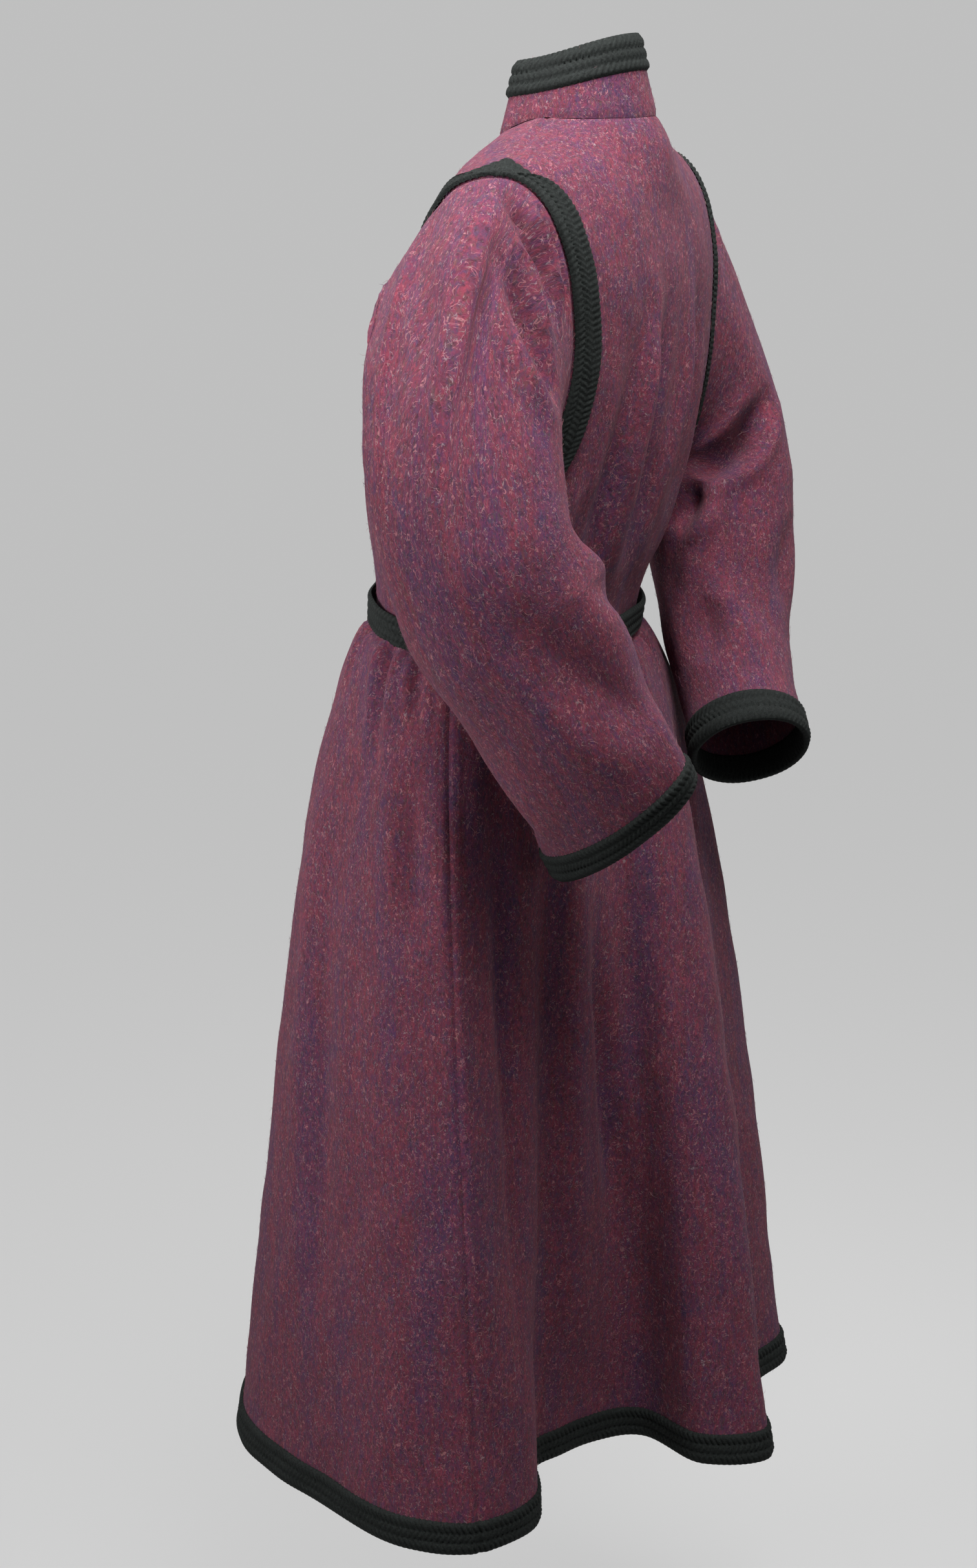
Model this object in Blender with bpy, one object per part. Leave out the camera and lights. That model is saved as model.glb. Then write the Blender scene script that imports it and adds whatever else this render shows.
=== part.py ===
# Wool coat with a stand collar, full sleeves, a flared skirt, a belt and braid trim, in the shape
# it has when worn. Metres, +Z up. The origin is where the wearer's shoulders carry it, at the
# height of the neck seam; the front faces -Y and the wearer's left side is +X.

import bmesh
import bpy
import numpy as np
from collections import namedtuple

NAME = "wool_coat"

# Cloth and seams
CLOTH = 0.0024
SEAM_GAP = 0.0003
PROBE = 0.0005

# Braid: rows of plaited wool, folded over the edges that it binds
BRAID_WIDTH = 0.025
BRAID_THICK = 0.0028
BRAID_ROWS = 3
BRAID_GROOVE = 0.0009
BRAID_LAP = 0.0004
BRAID_END_GAP = 0.0008
ARMHOLE_LAP = 0.0018
ARMHOLE_CORNER = 0.002
FRONT_INSET = BRAID_THICK + BRAID_LAP + SEAM_GAP / 2

# Collar: height of its top, how far it draws in, and its rows below the braid
COLLAR_TOP_BACK = 0.061
COLLAR_TOP_SIDE = 0.047
COLLAR_TOP_FRONT = 0.038
COLLAR_TAPER = 0.76
COLLAR_LEAN = -0.001
COLLAR_STEPS = (0.0, 0.5, 1.0)

# Belt
BELT_TOP = -0.369
BELT_BOTTOM = -0.397
BELT_THICK = 0.0032
BELT_ROWS = 4
BELT_CLEAR = 0.0036

# Lines round the body, as turns in degrees: 0 is the wearer's left side and 90 the back
FRONT = -90.0
BACK = 90.0
SIDE_AT_WAIST = 9.5
SIDE_AT_HEM = 12.0

# Bodice sections from neck to waist
Section = namedtuple("Section", "height spine half_width front back square_front square_back")
BODICE = [
    Section(0.010, -0.006, 0.052, 0.045, 0.056, 2.0, 2.0),
    Section(-0.002, -0.006, 0.064, 0.051, 0.062, 2.0, 1.9),
    Section(-0.014, -0.004, 0.098, 0.054, 0.068, 2.1, 1.5),
    Section(-0.030, -0.003, 0.146, 0.061, 0.071, 2.4, 1.4),
    Section(-0.060, -0.005, 0.168, 0.074, 0.076, 2.6, 1.9),
    Section(-0.105, -0.010, 0.176, 0.093, 0.087, 2.4, 2.2),
    Section(-0.155, -0.020, 0.178, 0.110, 0.096, 2.3, 2.3),
    Section(-0.205, -0.028, 0.174, 0.116, 0.099, 2.3, 2.3),
    Section(-0.260, -0.040, 0.166, 0.114, 0.100, 2.3, 2.3),
    Section(-0.315, -0.054, 0.154, 0.102, 0.101, 2.2, 2.2),
    Section(-0.369, -0.066, 0.135, 0.089, 0.094, 2.2, 2.2),
    Section(-0.397, -0.068, 0.132, 0.089, 0.091, 2.2, 2.2),
]
WAIST = BELT_BOTTOM
WAIST_TILT = 0.13

# Neckline and shoulders
NECK_SPINE = -0.006
NECK_BACK = 0.003
NECK_SIDE = 0.003
NECK_FRONT = -0.028
SHOULDER = -0.032

# Armhole: a leaning oval, seen from the side
ARMHOLE_BOTTOM = -0.280
ARMHOLE_FRONT = 0.079
ARMHOLE_BACK = 0.066
ARMHOLE_SPINE = -0.026

# Skirt lines from waist to hem, once round from the centre front: where each leaves the waist, how
# far it swells over the hip, and where it meets the hem
Line = namedtuple("Line", "name turn hip x y z")
SKIRT = [
    Line("centre front", -90, 0.016, -0.010, -0.308, -1.113),
    Line("left front ridge", -66, 0.032, 0.091, -0.280, -1.115),
    Line("left front", -45, 0.030, 0.142, -0.224, -1.117),
    Line("left front hollow", -26, 0.020, 0.176, -0.144, -1.117),
    Line("left side ridge", -4, 0.026, 0.203, -0.054, -1.117),
    Line("left side seam", 12, 0.026, 0.183, 0.000, -1.117),
    Line("left cone edge", 25, 0.020, 0.128, 0.023, -1.115),
    Line("left deep fold", 40, 0.004, 0.074, -0.008, -1.108),
    Line("left back ridge", 62, 0.012, 0.030, 0.002, -1.105),
    Line("centre back", 90, 0.004, -0.033, 0.052, -1.105),
    Line("right back rise", 108, 0.016, -0.013, 0.114, -1.107),
    Line("right back ridge", 124, 0.024, -0.052, 0.159, -1.110),
    Line("right deep fold", 144, 0.032, -0.130, 0.102, -1.104),
    Line("right side ridge", 162, 0.060, -0.216, 0.110, -1.100),
    Line("right side", 180, 0.046, -0.262, 0.032, -1.102),
    Line("right front hollow", 206, 0.014, -0.236, -0.118, -1.106),
    Line("right front", 226, 0.020, -0.200, -0.210, -1.110),
    Line("right front ridge", 248, 0.024, -0.128, -0.282, -1.112),
]
HIP_PEAK = 2.46
HIP_RISE = 0.4
HIP_FADE = 1.2
SKIRT_DROPS = (0.03, 0.09, 0.18, 0.30, 0.43, 0.57, 0.71, 0.85, 0.965, 1.0)

# Sleeve rings from upper arm to cuff: centre, half the width fore and aft, half the depth
Ring = namedtuple("Ring", "name x y z across deep tilt")
SLEEVE_LEFT = [
    Ring("upper arm", 0.208, 0.018, -0.306, 0.077, 0.055, 0),
    Ring("elbow", 0.198, 0.029, -0.342, 0.081, 0.054, 6),
    Ring("below elbow", 0.185, 0.046, -0.379, 0.079, 0.052, 12),
    Ring("forearm", 0.167, 0.064, -0.423, 0.079, 0.048, 16),
    Ring("above cuff", 0.143, 0.078, -0.469, 0.085, 0.043, 27),
    Ring("cuff", 0.113, 0.086, -0.516, 0.090, 0.038, 31),
]
SLEEVE_RIGHT = [
    Ring("upper arm", -0.208, 0.026, -0.306, 0.069, 0.055, 0),
    Ring("elbow", -0.203, 0.034, -0.348, 0.065, 0.056, 0),
    Ring("below elbow", -0.192, 0.044, -0.395, 0.059, 0.054, 0),
    Ring("forearm", -0.170, 0.059, -0.439, 0.052, 0.052, 0),
    Ring("above cuff", -0.142, 0.080, -0.475, 0.048, 0.049, 0),
    Ring("cuff", -0.110, 0.102, -0.507, 0.049, 0.044, 0),
]
CAP_STEPS = (0.10, 0.26, 0.46, 0.70)
CAP_SPRING = 1.0
CAP_PUFF = 0.45
CAP_LEAN = 0.58
CAP_TURN = 0.34
CAP_FALL = 0.9
TUBE_STEPS = 9

# Broad folds: the row and column where each starts and ends, its spread, and how far it stands out
Fold = namedtuple("Fold", "row column to_row to_column spread height")
BACK_FOLDS = [
    Fold(6.0, 5.5, 13.4, 2.4, 0.9, 0.004),
    Fold(8.0, 8.6, 13.4, 5.2, 0.9, -0.003),
]
FRONT_FOLDS = [
    Fold(9.0, 9.5, 13.4, 8.0, 0.9, 0.003),
]
SLEEVE_FOLDS = {
    "left": [
        Fold(1.0, 1.6, 4.6, 3.6, 0.8, -0.004),
        Fold(7.5, 1.2, 13.0, 4.2, 1.1, -0.005),
    ],
    "right": [
        Fold(2.6, 5.0, 6.4, 10.5, 0.9, -0.006),
        Fold(7.0, 9.0, 12.0, 7.0, 1.0, 0.004),
    ],
}

# Rows and columns of the cloth
PANEL_COLUMNS = 12
SHOULDER_ROWS = 3
ARMHOLE_ROWS = 9
RIB_ROWS = 2
BELT_ROW = SHOULDER_ROWS + ARMHOLE_ROWS + RIB_ROWS


def curve(places, values, at):
    """A smooth curve through the values at their places."""
    places = np.asarray(places, float)
    values = np.asarray(values, float)
    at = np.asarray(at, float)
    steps = np.diff(places)
    slopes = np.diff(values) / steps
    tangents = np.empty_like(values)
    tangents[0] = slopes[0]
    tangents[-1] = slopes[-1]
    tangents[1:-1] = (slopes[1:] * steps[:-1] + slopes[:-1] * steps[1:]) / (steps[1:] + steps[:-1])
    i = np.clip(np.searchsorted(places, at, side="right") - 1, 0, len(steps) - 1)
    t = (at - places[i]) / steps[i]
    start = (1 + 2 * t) * (1 - t) ** 2 * values[i] + t * (1 - t) ** 2 * steps[i] * tangents[i]
    end = t * t * (3 - 2 * t) * values[i + 1] - t * t * (1 - t) * steps[i] * tangents[i + 1]
    return start + end


def unit(vectors):
    return vectors / np.linalg.norm(vectors, axis=-1, keepdims=True)


def bodice_column(column, height):
    heights = [row.height for row in BODICE]
    values = [getattr(row, column) for row in BODICE]
    return curve(heights[::-1], values[::-1], height)


def skirt_column(column, turn):
    rows = SKIRT[-3:] + SKIRT + SKIRT[:3]
    turns = [row.turn for row in rows]
    turns = [t - 360 for t in turns[:3]] + turns[3:-3] + [t + 360 for t in turns[-3:]]
    wrapped = (np.asarray(turn, float) - SKIRT[0].turn) % 360 + SKIRT[0].turn
    return curve(turns, [getattr(row, column) for row in rows], wrapped)


def bodice_point(turn, height):
    angle = np.radians(turn)
    side, fore = np.cos(angle), np.sin(angle)
    depth = np.where(fore > 0, bodice_column("back", height), bodice_column("front", height))
    width = bodice_column("half_width", height)
    square = np.where(fore > 0, bodice_column("square_back", height), bodice_column("square_front", height))
    reach = ((np.abs(side) / width) ** square + (np.abs(fore) / depth) ** square) ** (-1 / square)
    spine = bodice_column("spine", height)
    dip = WAIST_TILT * reach * fore * height / WAIST
    return np.stack([reach * side, spine + reach * fore, height - dip], -1)


def skirt_point(turn, drop):
    waist = bodice_point(turn, WAIST + 0 * turn)
    hem = np.stack([skirt_column(column, turn) for column in ("x", "y", "z")], -1)
    left = np.maximum(1 - drop, 0.0)
    swell = HIP_PEAK * drop ** HIP_RISE * left ** HIP_FADE * skirt_column("hip", turn)
    angle = np.radians(turn)
    outward = np.stack([np.cos(angle), np.sin(angle), 0 * angle], -1)
    return waist + (hem - waist) * drop[..., None] + outward * swell[..., None]


def body(turn, level):
    """A place on the coat's body. Level is the height down to the waist, then the waist less the
    share of the way down the skirt."""
    turn, level = np.broadcast_arrays(np.asarray(turn, float), np.asarray(level, float))
    upper = bodice_point(turn, np.maximum(level, WAIST))
    lower = skirt_point(turn, np.maximum(WAIST - level, 0.0))
    return np.where((level >= WAIST)[..., None], upper, lower)


def body_normal(turn, level):
    along = body(turn + 0.2, level) - body(turn - 0.2, level)
    upward = body(turn, level + PROBE) - body(turn, level - PROBE)
    return unit(np.cross(along, upward))


def armhole_turn(height, back):
    """Turn of the armhole's seam at a height, on its back or its front side."""
    up = np.clip(2 * (height - ARMHOLE_BOTTOM) / (SHOULDER - ARMHOLE_BOTTOM) - 1, -1, 1)
    top = bodice_column("spine", SHOULDER)
    spine = ARMHOLE_SPINE + (top - ARMHOLE_SPINE) * (up + 1) / 2
    bow = np.sqrt(1 - up ** 2)
    aim = spine + ARMHOLE_BACK * bow if back else spine - ARMHOLE_FRONT * bow
    turns = np.linspace(-80, 80, 641)
    return np.interp(aim, body(turns, height)[:, 1], turns)


def panel_edge(back):
    """Turns and levels of a panel's outer edge: along the shoulder, the armhole and the side."""
    shoulder = np.linspace(NECK_SIDE, SHOULDER, SHOULDER_ROWS + 1)
    swing = np.linspace(0, np.pi, ARMHOLE_ROWS + 1)
    armhole = ARMHOLE_BOTTOM + (SHOULDER - ARMHOLE_BOTTOM) * (1 + np.cos(swing)) / 2
    ribs = np.concatenate([np.linspace(ARMHOLE_BOTTOM, BELT_TOP, RIB_ROWS + 1)[1:], [BELT_BOTTOM]])
    underarm = armhole_turn(ARMHOLE_BOTTOM, back)
    share = (ARMHOLE_BOTTOM - ribs) / (ARMHOLE_BOTTOM - WAIST)
    turns = [0 * shoulder[:-1], [armhole_turn(height, back) for height in armhole]]
    drops = np.array(SKIRT_DROPS)
    turns += [underarm + (SIDE_AT_WAIST - underarm) * share, SIDE_AT_WAIST + (SIDE_AT_HEM - SIDE_AT_WAIST) * drops]
    levels = [shoulder[:-1], armhole, ribs, WAIST - drops]
    return np.concatenate(turns), np.concatenate(levels)


def panel_places(back):
    """Turns and levels of a left panel's grid, from its centre line to its outer edge."""
    edge_turns, edge_levels = panel_edge(back)
    above = SHOULDER_ROWS + ARMHOLE_ROWS + RIB_ROWS
    top = NECK_BACK if back else NECK_FRONT
    centre = BACK if back else FRONT
    centre_levels = edge_levels.copy()
    centre_levels[:above + 1] = np.linspace(top, BELT_TOP, above + 1)
    fine = np.linspace(0, 1, 201)
    turns = centre + (edge_turns[:, None] - centre) * fine
    rise = fine * fine * (3 - 2 * fine)
    levels = centre_levels[:, None] + (edge_levels - centre_levels)[:, None] * rise
    line = body(turns, levels)
    lengths = np.linalg.norm(np.diff(line, axis=1), axis=2)
    lengths = np.concatenate([np.zeros((len(line), 1)), np.cumsum(lengths, axis=1)], 1)
    places = []
    for row in range(len(line)):
        shares = np.linspace(0, 1, PANEL_COLUMNS + 1)
        start = 0.0 if back else np.interp(BRAID_WIDTH, lengths[row], fine)
        end = 1.0
        if SHOULDER_ROWS <= row <= SHOULDER_ROWS + ARMHOLE_ROWS:
            end = np.interp(lengths[row, -1] - BRAID_WIDTH, lengths[row], fine)
        first = 0 if back else 1
        last = PANEL_COLUMNS if end == 1.0 else PANEL_COLUMNS - 1
        shares[first:last + 1] = np.linspace(start, end, last - first + 1)
        places.append((np.interp(shares, fine, turns[row]), np.interp(shares, fine, levels[row])))
    turns, levels = (np.array(rows) for rows in zip(*places))
    return turns, levels


def narrowed(points, start, end):
    """Points of a grid, its first and last columns moved in by the given distances."""
    points = points.copy()
    points[:, 0] += unit(points[:, 1] - points[:, 0]) * start
    points[:, -1] += unit(points[:, -2] - points[:, -1]) * end
    return points


def grid_normals(points, tube=False):
    """Outward directions of a grid whose columns run left to right as seen from outside."""
    if tube:
        around = np.roll(points, -1, axis=1) - np.roll(points, 1, axis=1)
    else:
        around = np.gradient(points, axis=1)
    return unit(np.cross(np.gradient(points, axis=0), around))


class Cloth:
    """A grid of outer points with their outward directions."""

    def __init__(self, points, normals):
        self.points = points
        self.normals = normals

    def out(self, distance):
        return self.points + self.normals * distance

    def part(self, rows, columns=slice(None)):
        return Cloth(self.points[rows, columns], self.normals[rows, columns])


def joined(cloths, axis):
    points = np.concatenate([cloth.points for cloth in cloths], axis)
    normals = np.concatenate([cloth.normals for cloth in cloths], axis)
    return Cloth(points, normals)


def folded(cloth, folds, tube=False):
    """Cloth with broad folds raised or sunk along lines across its grid."""
    rows, columns = cloth.points.shape[:2]
    row, column = np.mgrid[0:rows, 0:columns].astype(float)
    height = np.zeros((rows, columns))
    for fold in folds:
        run = np.array([fold.to_row - fold.row, fold.to_column - fold.column])
        across = column - fold.column
        if tube:
            across = (across - run[1] / 2 + columns / 2) % columns - columns / 2 + run[1] / 2
        along = ((row - fold.row) * run[0] + across * run[1]) / (run @ run)
        aside = ((row - fold.row) * run[1] - across * run[0]) / np.linalg.norm(run)
        fade = np.sin(np.pi * np.clip(along, 0, 1))
        height += fold.height * fade * np.exp(-(aside / fold.spread) ** 2)
    return Cloth(cloth.out(height[..., None]), cloth.normals)


def body_panel(back, left):
    """A front, or half of the back, from its centre line to its shoulder, armhole and side seam."""
    turns, levels = panel_places(back)
    if not left:
        turns = 180 - turns
    points = narrowed(body(turns, levels), 0.0 if back else FRONT_INSET, 0.0)
    return folded(Cloth(points, body_normal(turns, levels)), BACK_FOLDS if back else FRONT_FOLDS)


def all_round(panels, rows):
    """Rows of the fronts and the back joined once round, from the left front edge to the right."""
    front_left, back_left, back_right, front_right = (panel.part(rows) for panel in panels)
    columns = slice(None, None, -1)
    return joined([
        front_left,
        back_left.part(slice(None), columns).part(slice(None), slice(1, None)),
        back_right.part(slice(None), slice(1, None)),
        front_right.part(slice(None), columns).part(slice(None), slice(1, None)),
    ], 1)


def new_object(name, bm, material):
    bmesh.ops.recalc_face_normals(bm, faces=bm.faces)
    mesh = bpy.data.meshes.new(name)
    bm.to_mesh(mesh)
    bm.free()
    mesh.shade_smooth()
    mesh.set_sharp_from_angle(angle=np.radians(50))
    mesh.materials.append(material)
    piece = bpy.data.objects.new(name, mesh)
    parts.objects.link(piece)
    return piece


def add_cell(bm, a, b, c, d):
    """A cell of a grid as two triangles, cut across its shorter way."""
    if (a.co - c.co).length < (b.co - d.co).length:
        bm.faces.new((a, b, c))
        bm.faces.new((a, c, d))
    else:
        bm.faces.new((a, b, d))
        bm.faces.new((b, c, d))


def wall(name, cloth, material, tube=False):
    """A sheet of cloth as a closed wall, inward from its outer points."""
    bm = bmesh.new()
    layers = [[[bm.verts.new(p) for p in row] for row in grid] for grid in (cloth.out(0), cloth.out(-CLOTH))]
    outer, inner = layers
    rows, columns = len(outer), len(outer[0])
    steps = range(columns if tube else columns - 1)
    for grid in layers:
        for r in range(rows - 1):
            for c in steps:
                d = (c + 1) % columns
                add_cell(bm, grid[r][c], grid[r][d], grid[r + 1][d], grid[r + 1][c])
    for r in (0, rows - 1):
        for c in steps:
            d = (c + 1) % columns
            add_cell(bm, outer[r][c], outer[r][d], inner[r][d], inner[r][c])
    if not tube:
        for c in (0, columns - 1):
            for r in range(rows - 1):
                add_cell(bm, outer[r][c], outer[r + 1][c], inner[r + 1][c], inner[r][c])
    return new_object(name, bm, material)


def lofted(name, sections, material, ring=False):
    """A closed solid through sections with the same number of corners."""
    bm = bmesh.new()
    loops = [[bm.verts.new(p) for p in section] for section in sections]
    corners = len(loops[0])
    for near, far in zip(loops, loops[1:] + ([loops[0]] if ring else [])):
        for k in range(corners):
            m = (k + 1) % corners
            add_cell(bm, near[k], near[m], far[m], far[k])
    if not ring:
        bm.faces.new(loops[0])
        bm.faces.new(loops[-1][::-1])
    return new_object(name, bm, material)


def braid_face(rows, thick):
    """Shares across a braid and the heights there: a crest for each row, with grooves between."""
    face = [(0.0, thick - BRAID_GROOVE)]
    for row in range(rows):
        face.append(((row + 0.5) / rows, thick))
        face.append(((row + 1) / rows, thick - BRAID_GROOVE))
    return face


def sections_on(edge, free, profile):
    """Sections made from a line of cloth points and a second line beside it. The profile gives
    shares of the way from the first to the second, and heights above the cloth."""
    sections = []
    for e, f, up_e, up_f in zip(edge.points, free.points, edge.normals, free.normals):
        sections.append([e + (f - e) * share + unit(up_e + (up_f - up_e) * share) * up for share, up in profile])
    return np.array(sections)


def binding_profile():
    """A braid folded over the edge of the cloth, with its rows raised on the outside."""
    under = -CLOTH - BRAID_LAP
    nose = -BRAID_THICK / BRAID_WIDTH
    slot = -BRAID_LAP / BRAID_WIDTH
    profile = [(1.0, BRAID_LAP)]
    profile += [(share, BRAID_LAP + height) for share, height in braid_face(BRAID_ROWS, BRAID_THICK)[::-1]]
    profile += [(nose, 0.0), (nose, -CLOTH), (0.0, under - BRAID_THICK), (1.0, under - BRAID_THICK)]
    profile += [(1.0, under), (slot, under), (slot, BRAID_LAP)]
    return profile


def flat_profile(rows, lap, thick):
    """A braid laid flat on the cloth."""
    face = [(share, lap + height) for share, height in braid_face(rows, thick)]
    return [(1.0, lap), (0.0, lap)] + face


def moved_ends(sections, start, end):
    """Sections with the first and last moved outward along the run."""
    sections = sections.copy()
    sections[0] += unit((sections[0] - sections[1]).mean(0)) * start
    sections[-1] += unit((sections[-1] - sections[-2]).mean(0)) * end
    return sections


def collar_cloth(neckline):
    """The stand collar, up from the neckline and drawn in towards its top."""
    base = neckline.points[0]
    turn = np.degrees(np.arctan2(base[:, 1] - NECK_SPINE, base[:, 0]))
    back = (1 + np.sin(np.radians(turn))) / 2
    centre = np.stack([0 * back, NECK_SPINE + 0 * back, base[:, 2]], -1)
    top = centre + (base - centre) * COLLAR_TAPER
    top[:, 1] += COLLAR_LEAN
    top[:, 2] = curve((0, 0.5, 1), (COLLAR_TOP_FRONT, COLLAR_TOP_SIDE, COLLAR_TOP_BACK), back)
    plain = (top - base) * (1 - BRAID_WIDTH / np.linalg.norm(top - base, axis=1, keepdims=True))
    rows = [base + plain * step for step in COLLAR_STEPS] + [top]
    rows[0] = base + unit(top - base) * SEAM_GAP
    points = np.array(rows[::-1])
    return Cloth(points, grid_normals(points))


def armhole_loop(front, back):
    """The armhole's edge once round, from the shoulder down the back and up the front."""
    rows = slice(SHOULDER_ROWS, SHOULDER_ROWS + ARMHOLE_ROWS + 1)
    behind, before = back.part(rows, -1), front.part(rows, -1)
    order = slice(-2, 0, -1)
    return joined([behind, Cloth(before.points[order], before.normals[order])], 0)


def beside(line, distance):
    """The place at a distance along a line of cloth."""
    lengths = np.cumsum(np.linalg.norm(np.diff(line.points, axis=0), axis=1))
    lengths = np.concatenate([[0], lengths])
    point = [np.interp(distance, lengths, line.points[:, k]) for k in range(3)]
    normal = [np.interp(distance, lengths, line.normals[:, k]) for k in range(3)]
    return Cloth(np.array([point]), unit(np.array([normal])))


def armhole_band(front, back):
    """The armhole's edge and the line one braid's width beside it, once round."""
    last = SHOULDER_ROWS + ARMHOLE_ROWS
    rows = slice(SHOULDER_ROWS, last + 1)
    top, bottom = slice(SHOULDER_ROWS, None, -1), slice(last, last + 3)
    edges, frees = [], []
    for panel, down in ((back, True), (front, False)):
        edge, free = panel.part(rows, -1), panel.part(rows, -2)
        corners = [beside(edge, ARMHOLE_CORNER), beside(edge.part(slice(None, None, -1)), ARMHOLE_CORNER)]
        edge = joined([corners[0], edge.part(slice(1, -1)), corners[1]], 0)
        seam = panel.part(top if down else bottom, -1)
        start, beyond = seam.part(slice(0, 1)), beside(seam, BRAID_WIDTH)
        order = slice(None) if down else slice(None, None, -1)
        edges += [start, edge.part(order)]
        frees += [beyond, free.part(order)]
    return joined(edges, 0), joined(frees, 0)


def sleeve_cloth(loop, rings, folds, left):
    """A sleeve, from the armhole down to the cuff."""
    columns = len(loop.points)
    swing = np.linspace(0, 2 * np.pi, columns, endpoint=False)[:, None]
    along = np.roll(loop.points, -1, axis=0) - np.roll(loop.points, 1, axis=0)
    away = unit(np.cross(along, loop.normals)) * (1 if left else -1)
    start = loop.points + away * SEAM_GAP

    table = np.array([ring[1:] for ring in rings])
    lengths = np.concatenate([[0], np.cumsum(np.linalg.norm(np.diff(table[:, :3], axis=0), axis=1))])
    stops = np.linspace(0, lengths[-1] - BRAID_WIDTH, TUBE_STEPS)
    stops = np.append(stops, lengths[-1])
    centre = np.stack([curve(lengths, table[:, k], stops) for k in range(3)], -1)
    across = curve(lengths, table[:, 3], stops)
    deep = curve(lengths, table[:, 4], stops)
    tilt = np.radians(curve(lengths, table[:, 5], stops))[:, None]
    heading = unit(np.gradient(centre, stops, axis=0))
    fore = unit(np.array([0, 1, 0]) - heading[:, 1:2] * heading)
    outer = np.cross(heading, fore) * (1 if left else -1)
    fore = fore * np.cos(tilt) - heading * np.sin(tilt)
    tube = [c + d * np.cos(swing) * o + a * np.sin(swing) * f
            for c, d, o, a, f in zip(centre, deep, outer, across, fore)]

    reach = np.linalg.norm(tube[0] - start, axis=1, keepdims=True)
    lean = CAP_LEAN + CAP_TURN * np.cos(swing)
    spring = CAP_SPRING + CAP_PUFF * np.clip(-np.sin(swing), 0, 1)
    leave = unit(away * lean + loop.normals * (1 - lean)) * reach * spring
    arrive = heading[0] * reach * CAP_FALL
    rows = [start]
    for t in CAP_STEPS:
        near = (1 + 2 * t) * (1 - t) ** 2 * start + t * (1 - t) ** 2 * leave
        far = t * t * (3 - 2 * t) * tube[0] - t * t * (1 - t) * arrive
        rows.append(near + far)
    points = np.array(rows + tube)
    normals = grid_normals(points, tube=True) * (1 if left else -1)
    return folded(Cloth(points, normals), folds, tube=True)


def principled(name, colour, roughness):
    material = bpy.data.materials.new(name)
    material.use_nodes = True
    shader = material.node_tree.nodes["Principled BSDF"]
    shader.inputs["Base Color"].default_value = (*colour, 1.0)
    shader.inputs["Roughness"].default_value = roughness
    return material


def build():
    wool = principled("wool", (0.20, 0.055, 0.085), 0.95)
    braid = principled("braid", (0.025, 0.026, 0.024), 0.9)
    panels = [body_panel(back, left) for back, left in ((False, True), (True, True), (True, False), (False, False))]
    whole_back = joined([
        panels[1].part(slice(None), slice(None, None, -1)),
        panels[2].part(slice(None), slice(1, None)),
    ], 1)
    for name, cloth, inner in (("front_left", panels[0], 0.0), ("front_right", panels[3], 0.0),
                               ("back", whole_back, SEAM_GAP / 2)):
        wall(name, Cloth(narrowed(cloth.points, inner, SEAM_GAP / 2), cloth.normals), wool)

    collar = collar_cloth(all_round(panels, slice(0, 1)))
    wall("collar", collar, wool)
    overhang = BRAID_THICK + BRAID_LAP
    bound = sections_on(collar.part(0), collar.part(1), binding_profile())
    lofted("braid_collar", moved_ends(bound, overhang, overhang), braid)

    hem = all_round(panels, slice(-2, None))
    bound = sections_on(hem.part(1), hem.part(0), binding_profile())
    lofted("braid_hem", moved_ends(bound, overhang, overhang), braid)

    for side, panel, ends in (("left", panels[0], (0, 1)), ("right", panels[3], (-1, -2))):
        strips = [joined([collar.part(slice(1, None), end), panel.part(slice(1, -1), k)], 0)
                  for k, end in enumerate(ends)]
        bound = sections_on(strips[0], strips[1], binding_profile())
        lofted("braid_front_" + side, moved_ends(bound, -BRAID_END_GAP, -BRAID_END_GAP), braid)

    for side, front, back, rings in (("left", panels[0], panels[1], SLEEVE_LEFT),
                                     ("right", panels[3], panels[2], SLEEVE_RIGHT)):
        loop = armhole_loop(front, back)
        sleeve = sleeve_cloth(loop, rings, SLEEVE_FOLDS[side], side == "left")
        wall("sleeve_" + side, sleeve, wool, tube=True)
        bound = sections_on(sleeve.part(-1), sleeve.part(-2), binding_profile())
        lofted("braid_cuff_" + side, bound, braid, ring=True)
        band = sections_on(*armhole_band(front, back), flat_profile(BRAID_ROWS, ARMHOLE_LAP, BRAID_THICK))
        lofted("braid_armhole_" + side, band, braid, ring=True)

    waist = all_round(panels, slice(BELT_ROW, BELT_ROW + 2))
    bound = sections_on(waist.part(1), waist.part(0), flat_profile(BELT_ROWS, BRAID_LAP + BELT_CLEAR, BELT_THICK))
    lofted("belt", bound, principled("belt", (0.025, 0.026, 0.024), 0.9), ring=True)


for old in list(bpy.data.objects):
    bpy.data.objects.remove(old, do_unlink=True)
parts = bpy.data.collections.new(NAME)
bpy.context.scene.collection.children.link(parts)
build()
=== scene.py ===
import math
from collections import namedtuple

import bpy
import numpy as np
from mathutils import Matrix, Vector


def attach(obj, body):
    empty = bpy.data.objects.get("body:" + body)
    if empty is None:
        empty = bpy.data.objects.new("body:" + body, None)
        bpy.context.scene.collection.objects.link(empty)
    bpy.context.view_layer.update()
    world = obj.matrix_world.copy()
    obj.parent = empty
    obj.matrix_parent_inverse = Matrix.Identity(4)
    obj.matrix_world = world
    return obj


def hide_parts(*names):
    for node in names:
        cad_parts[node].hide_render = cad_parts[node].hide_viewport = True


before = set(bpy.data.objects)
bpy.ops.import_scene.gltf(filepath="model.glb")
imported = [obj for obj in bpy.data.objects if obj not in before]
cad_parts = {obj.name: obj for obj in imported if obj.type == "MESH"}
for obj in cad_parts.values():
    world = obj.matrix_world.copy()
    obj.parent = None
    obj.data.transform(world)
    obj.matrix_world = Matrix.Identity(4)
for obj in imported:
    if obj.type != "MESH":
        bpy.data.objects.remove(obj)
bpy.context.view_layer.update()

# Camera at the photograph's angle and distance, in metres and millimetres of lens
CAMERA_PLACE = (2.0148, 0.9147, 0.1088)
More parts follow.
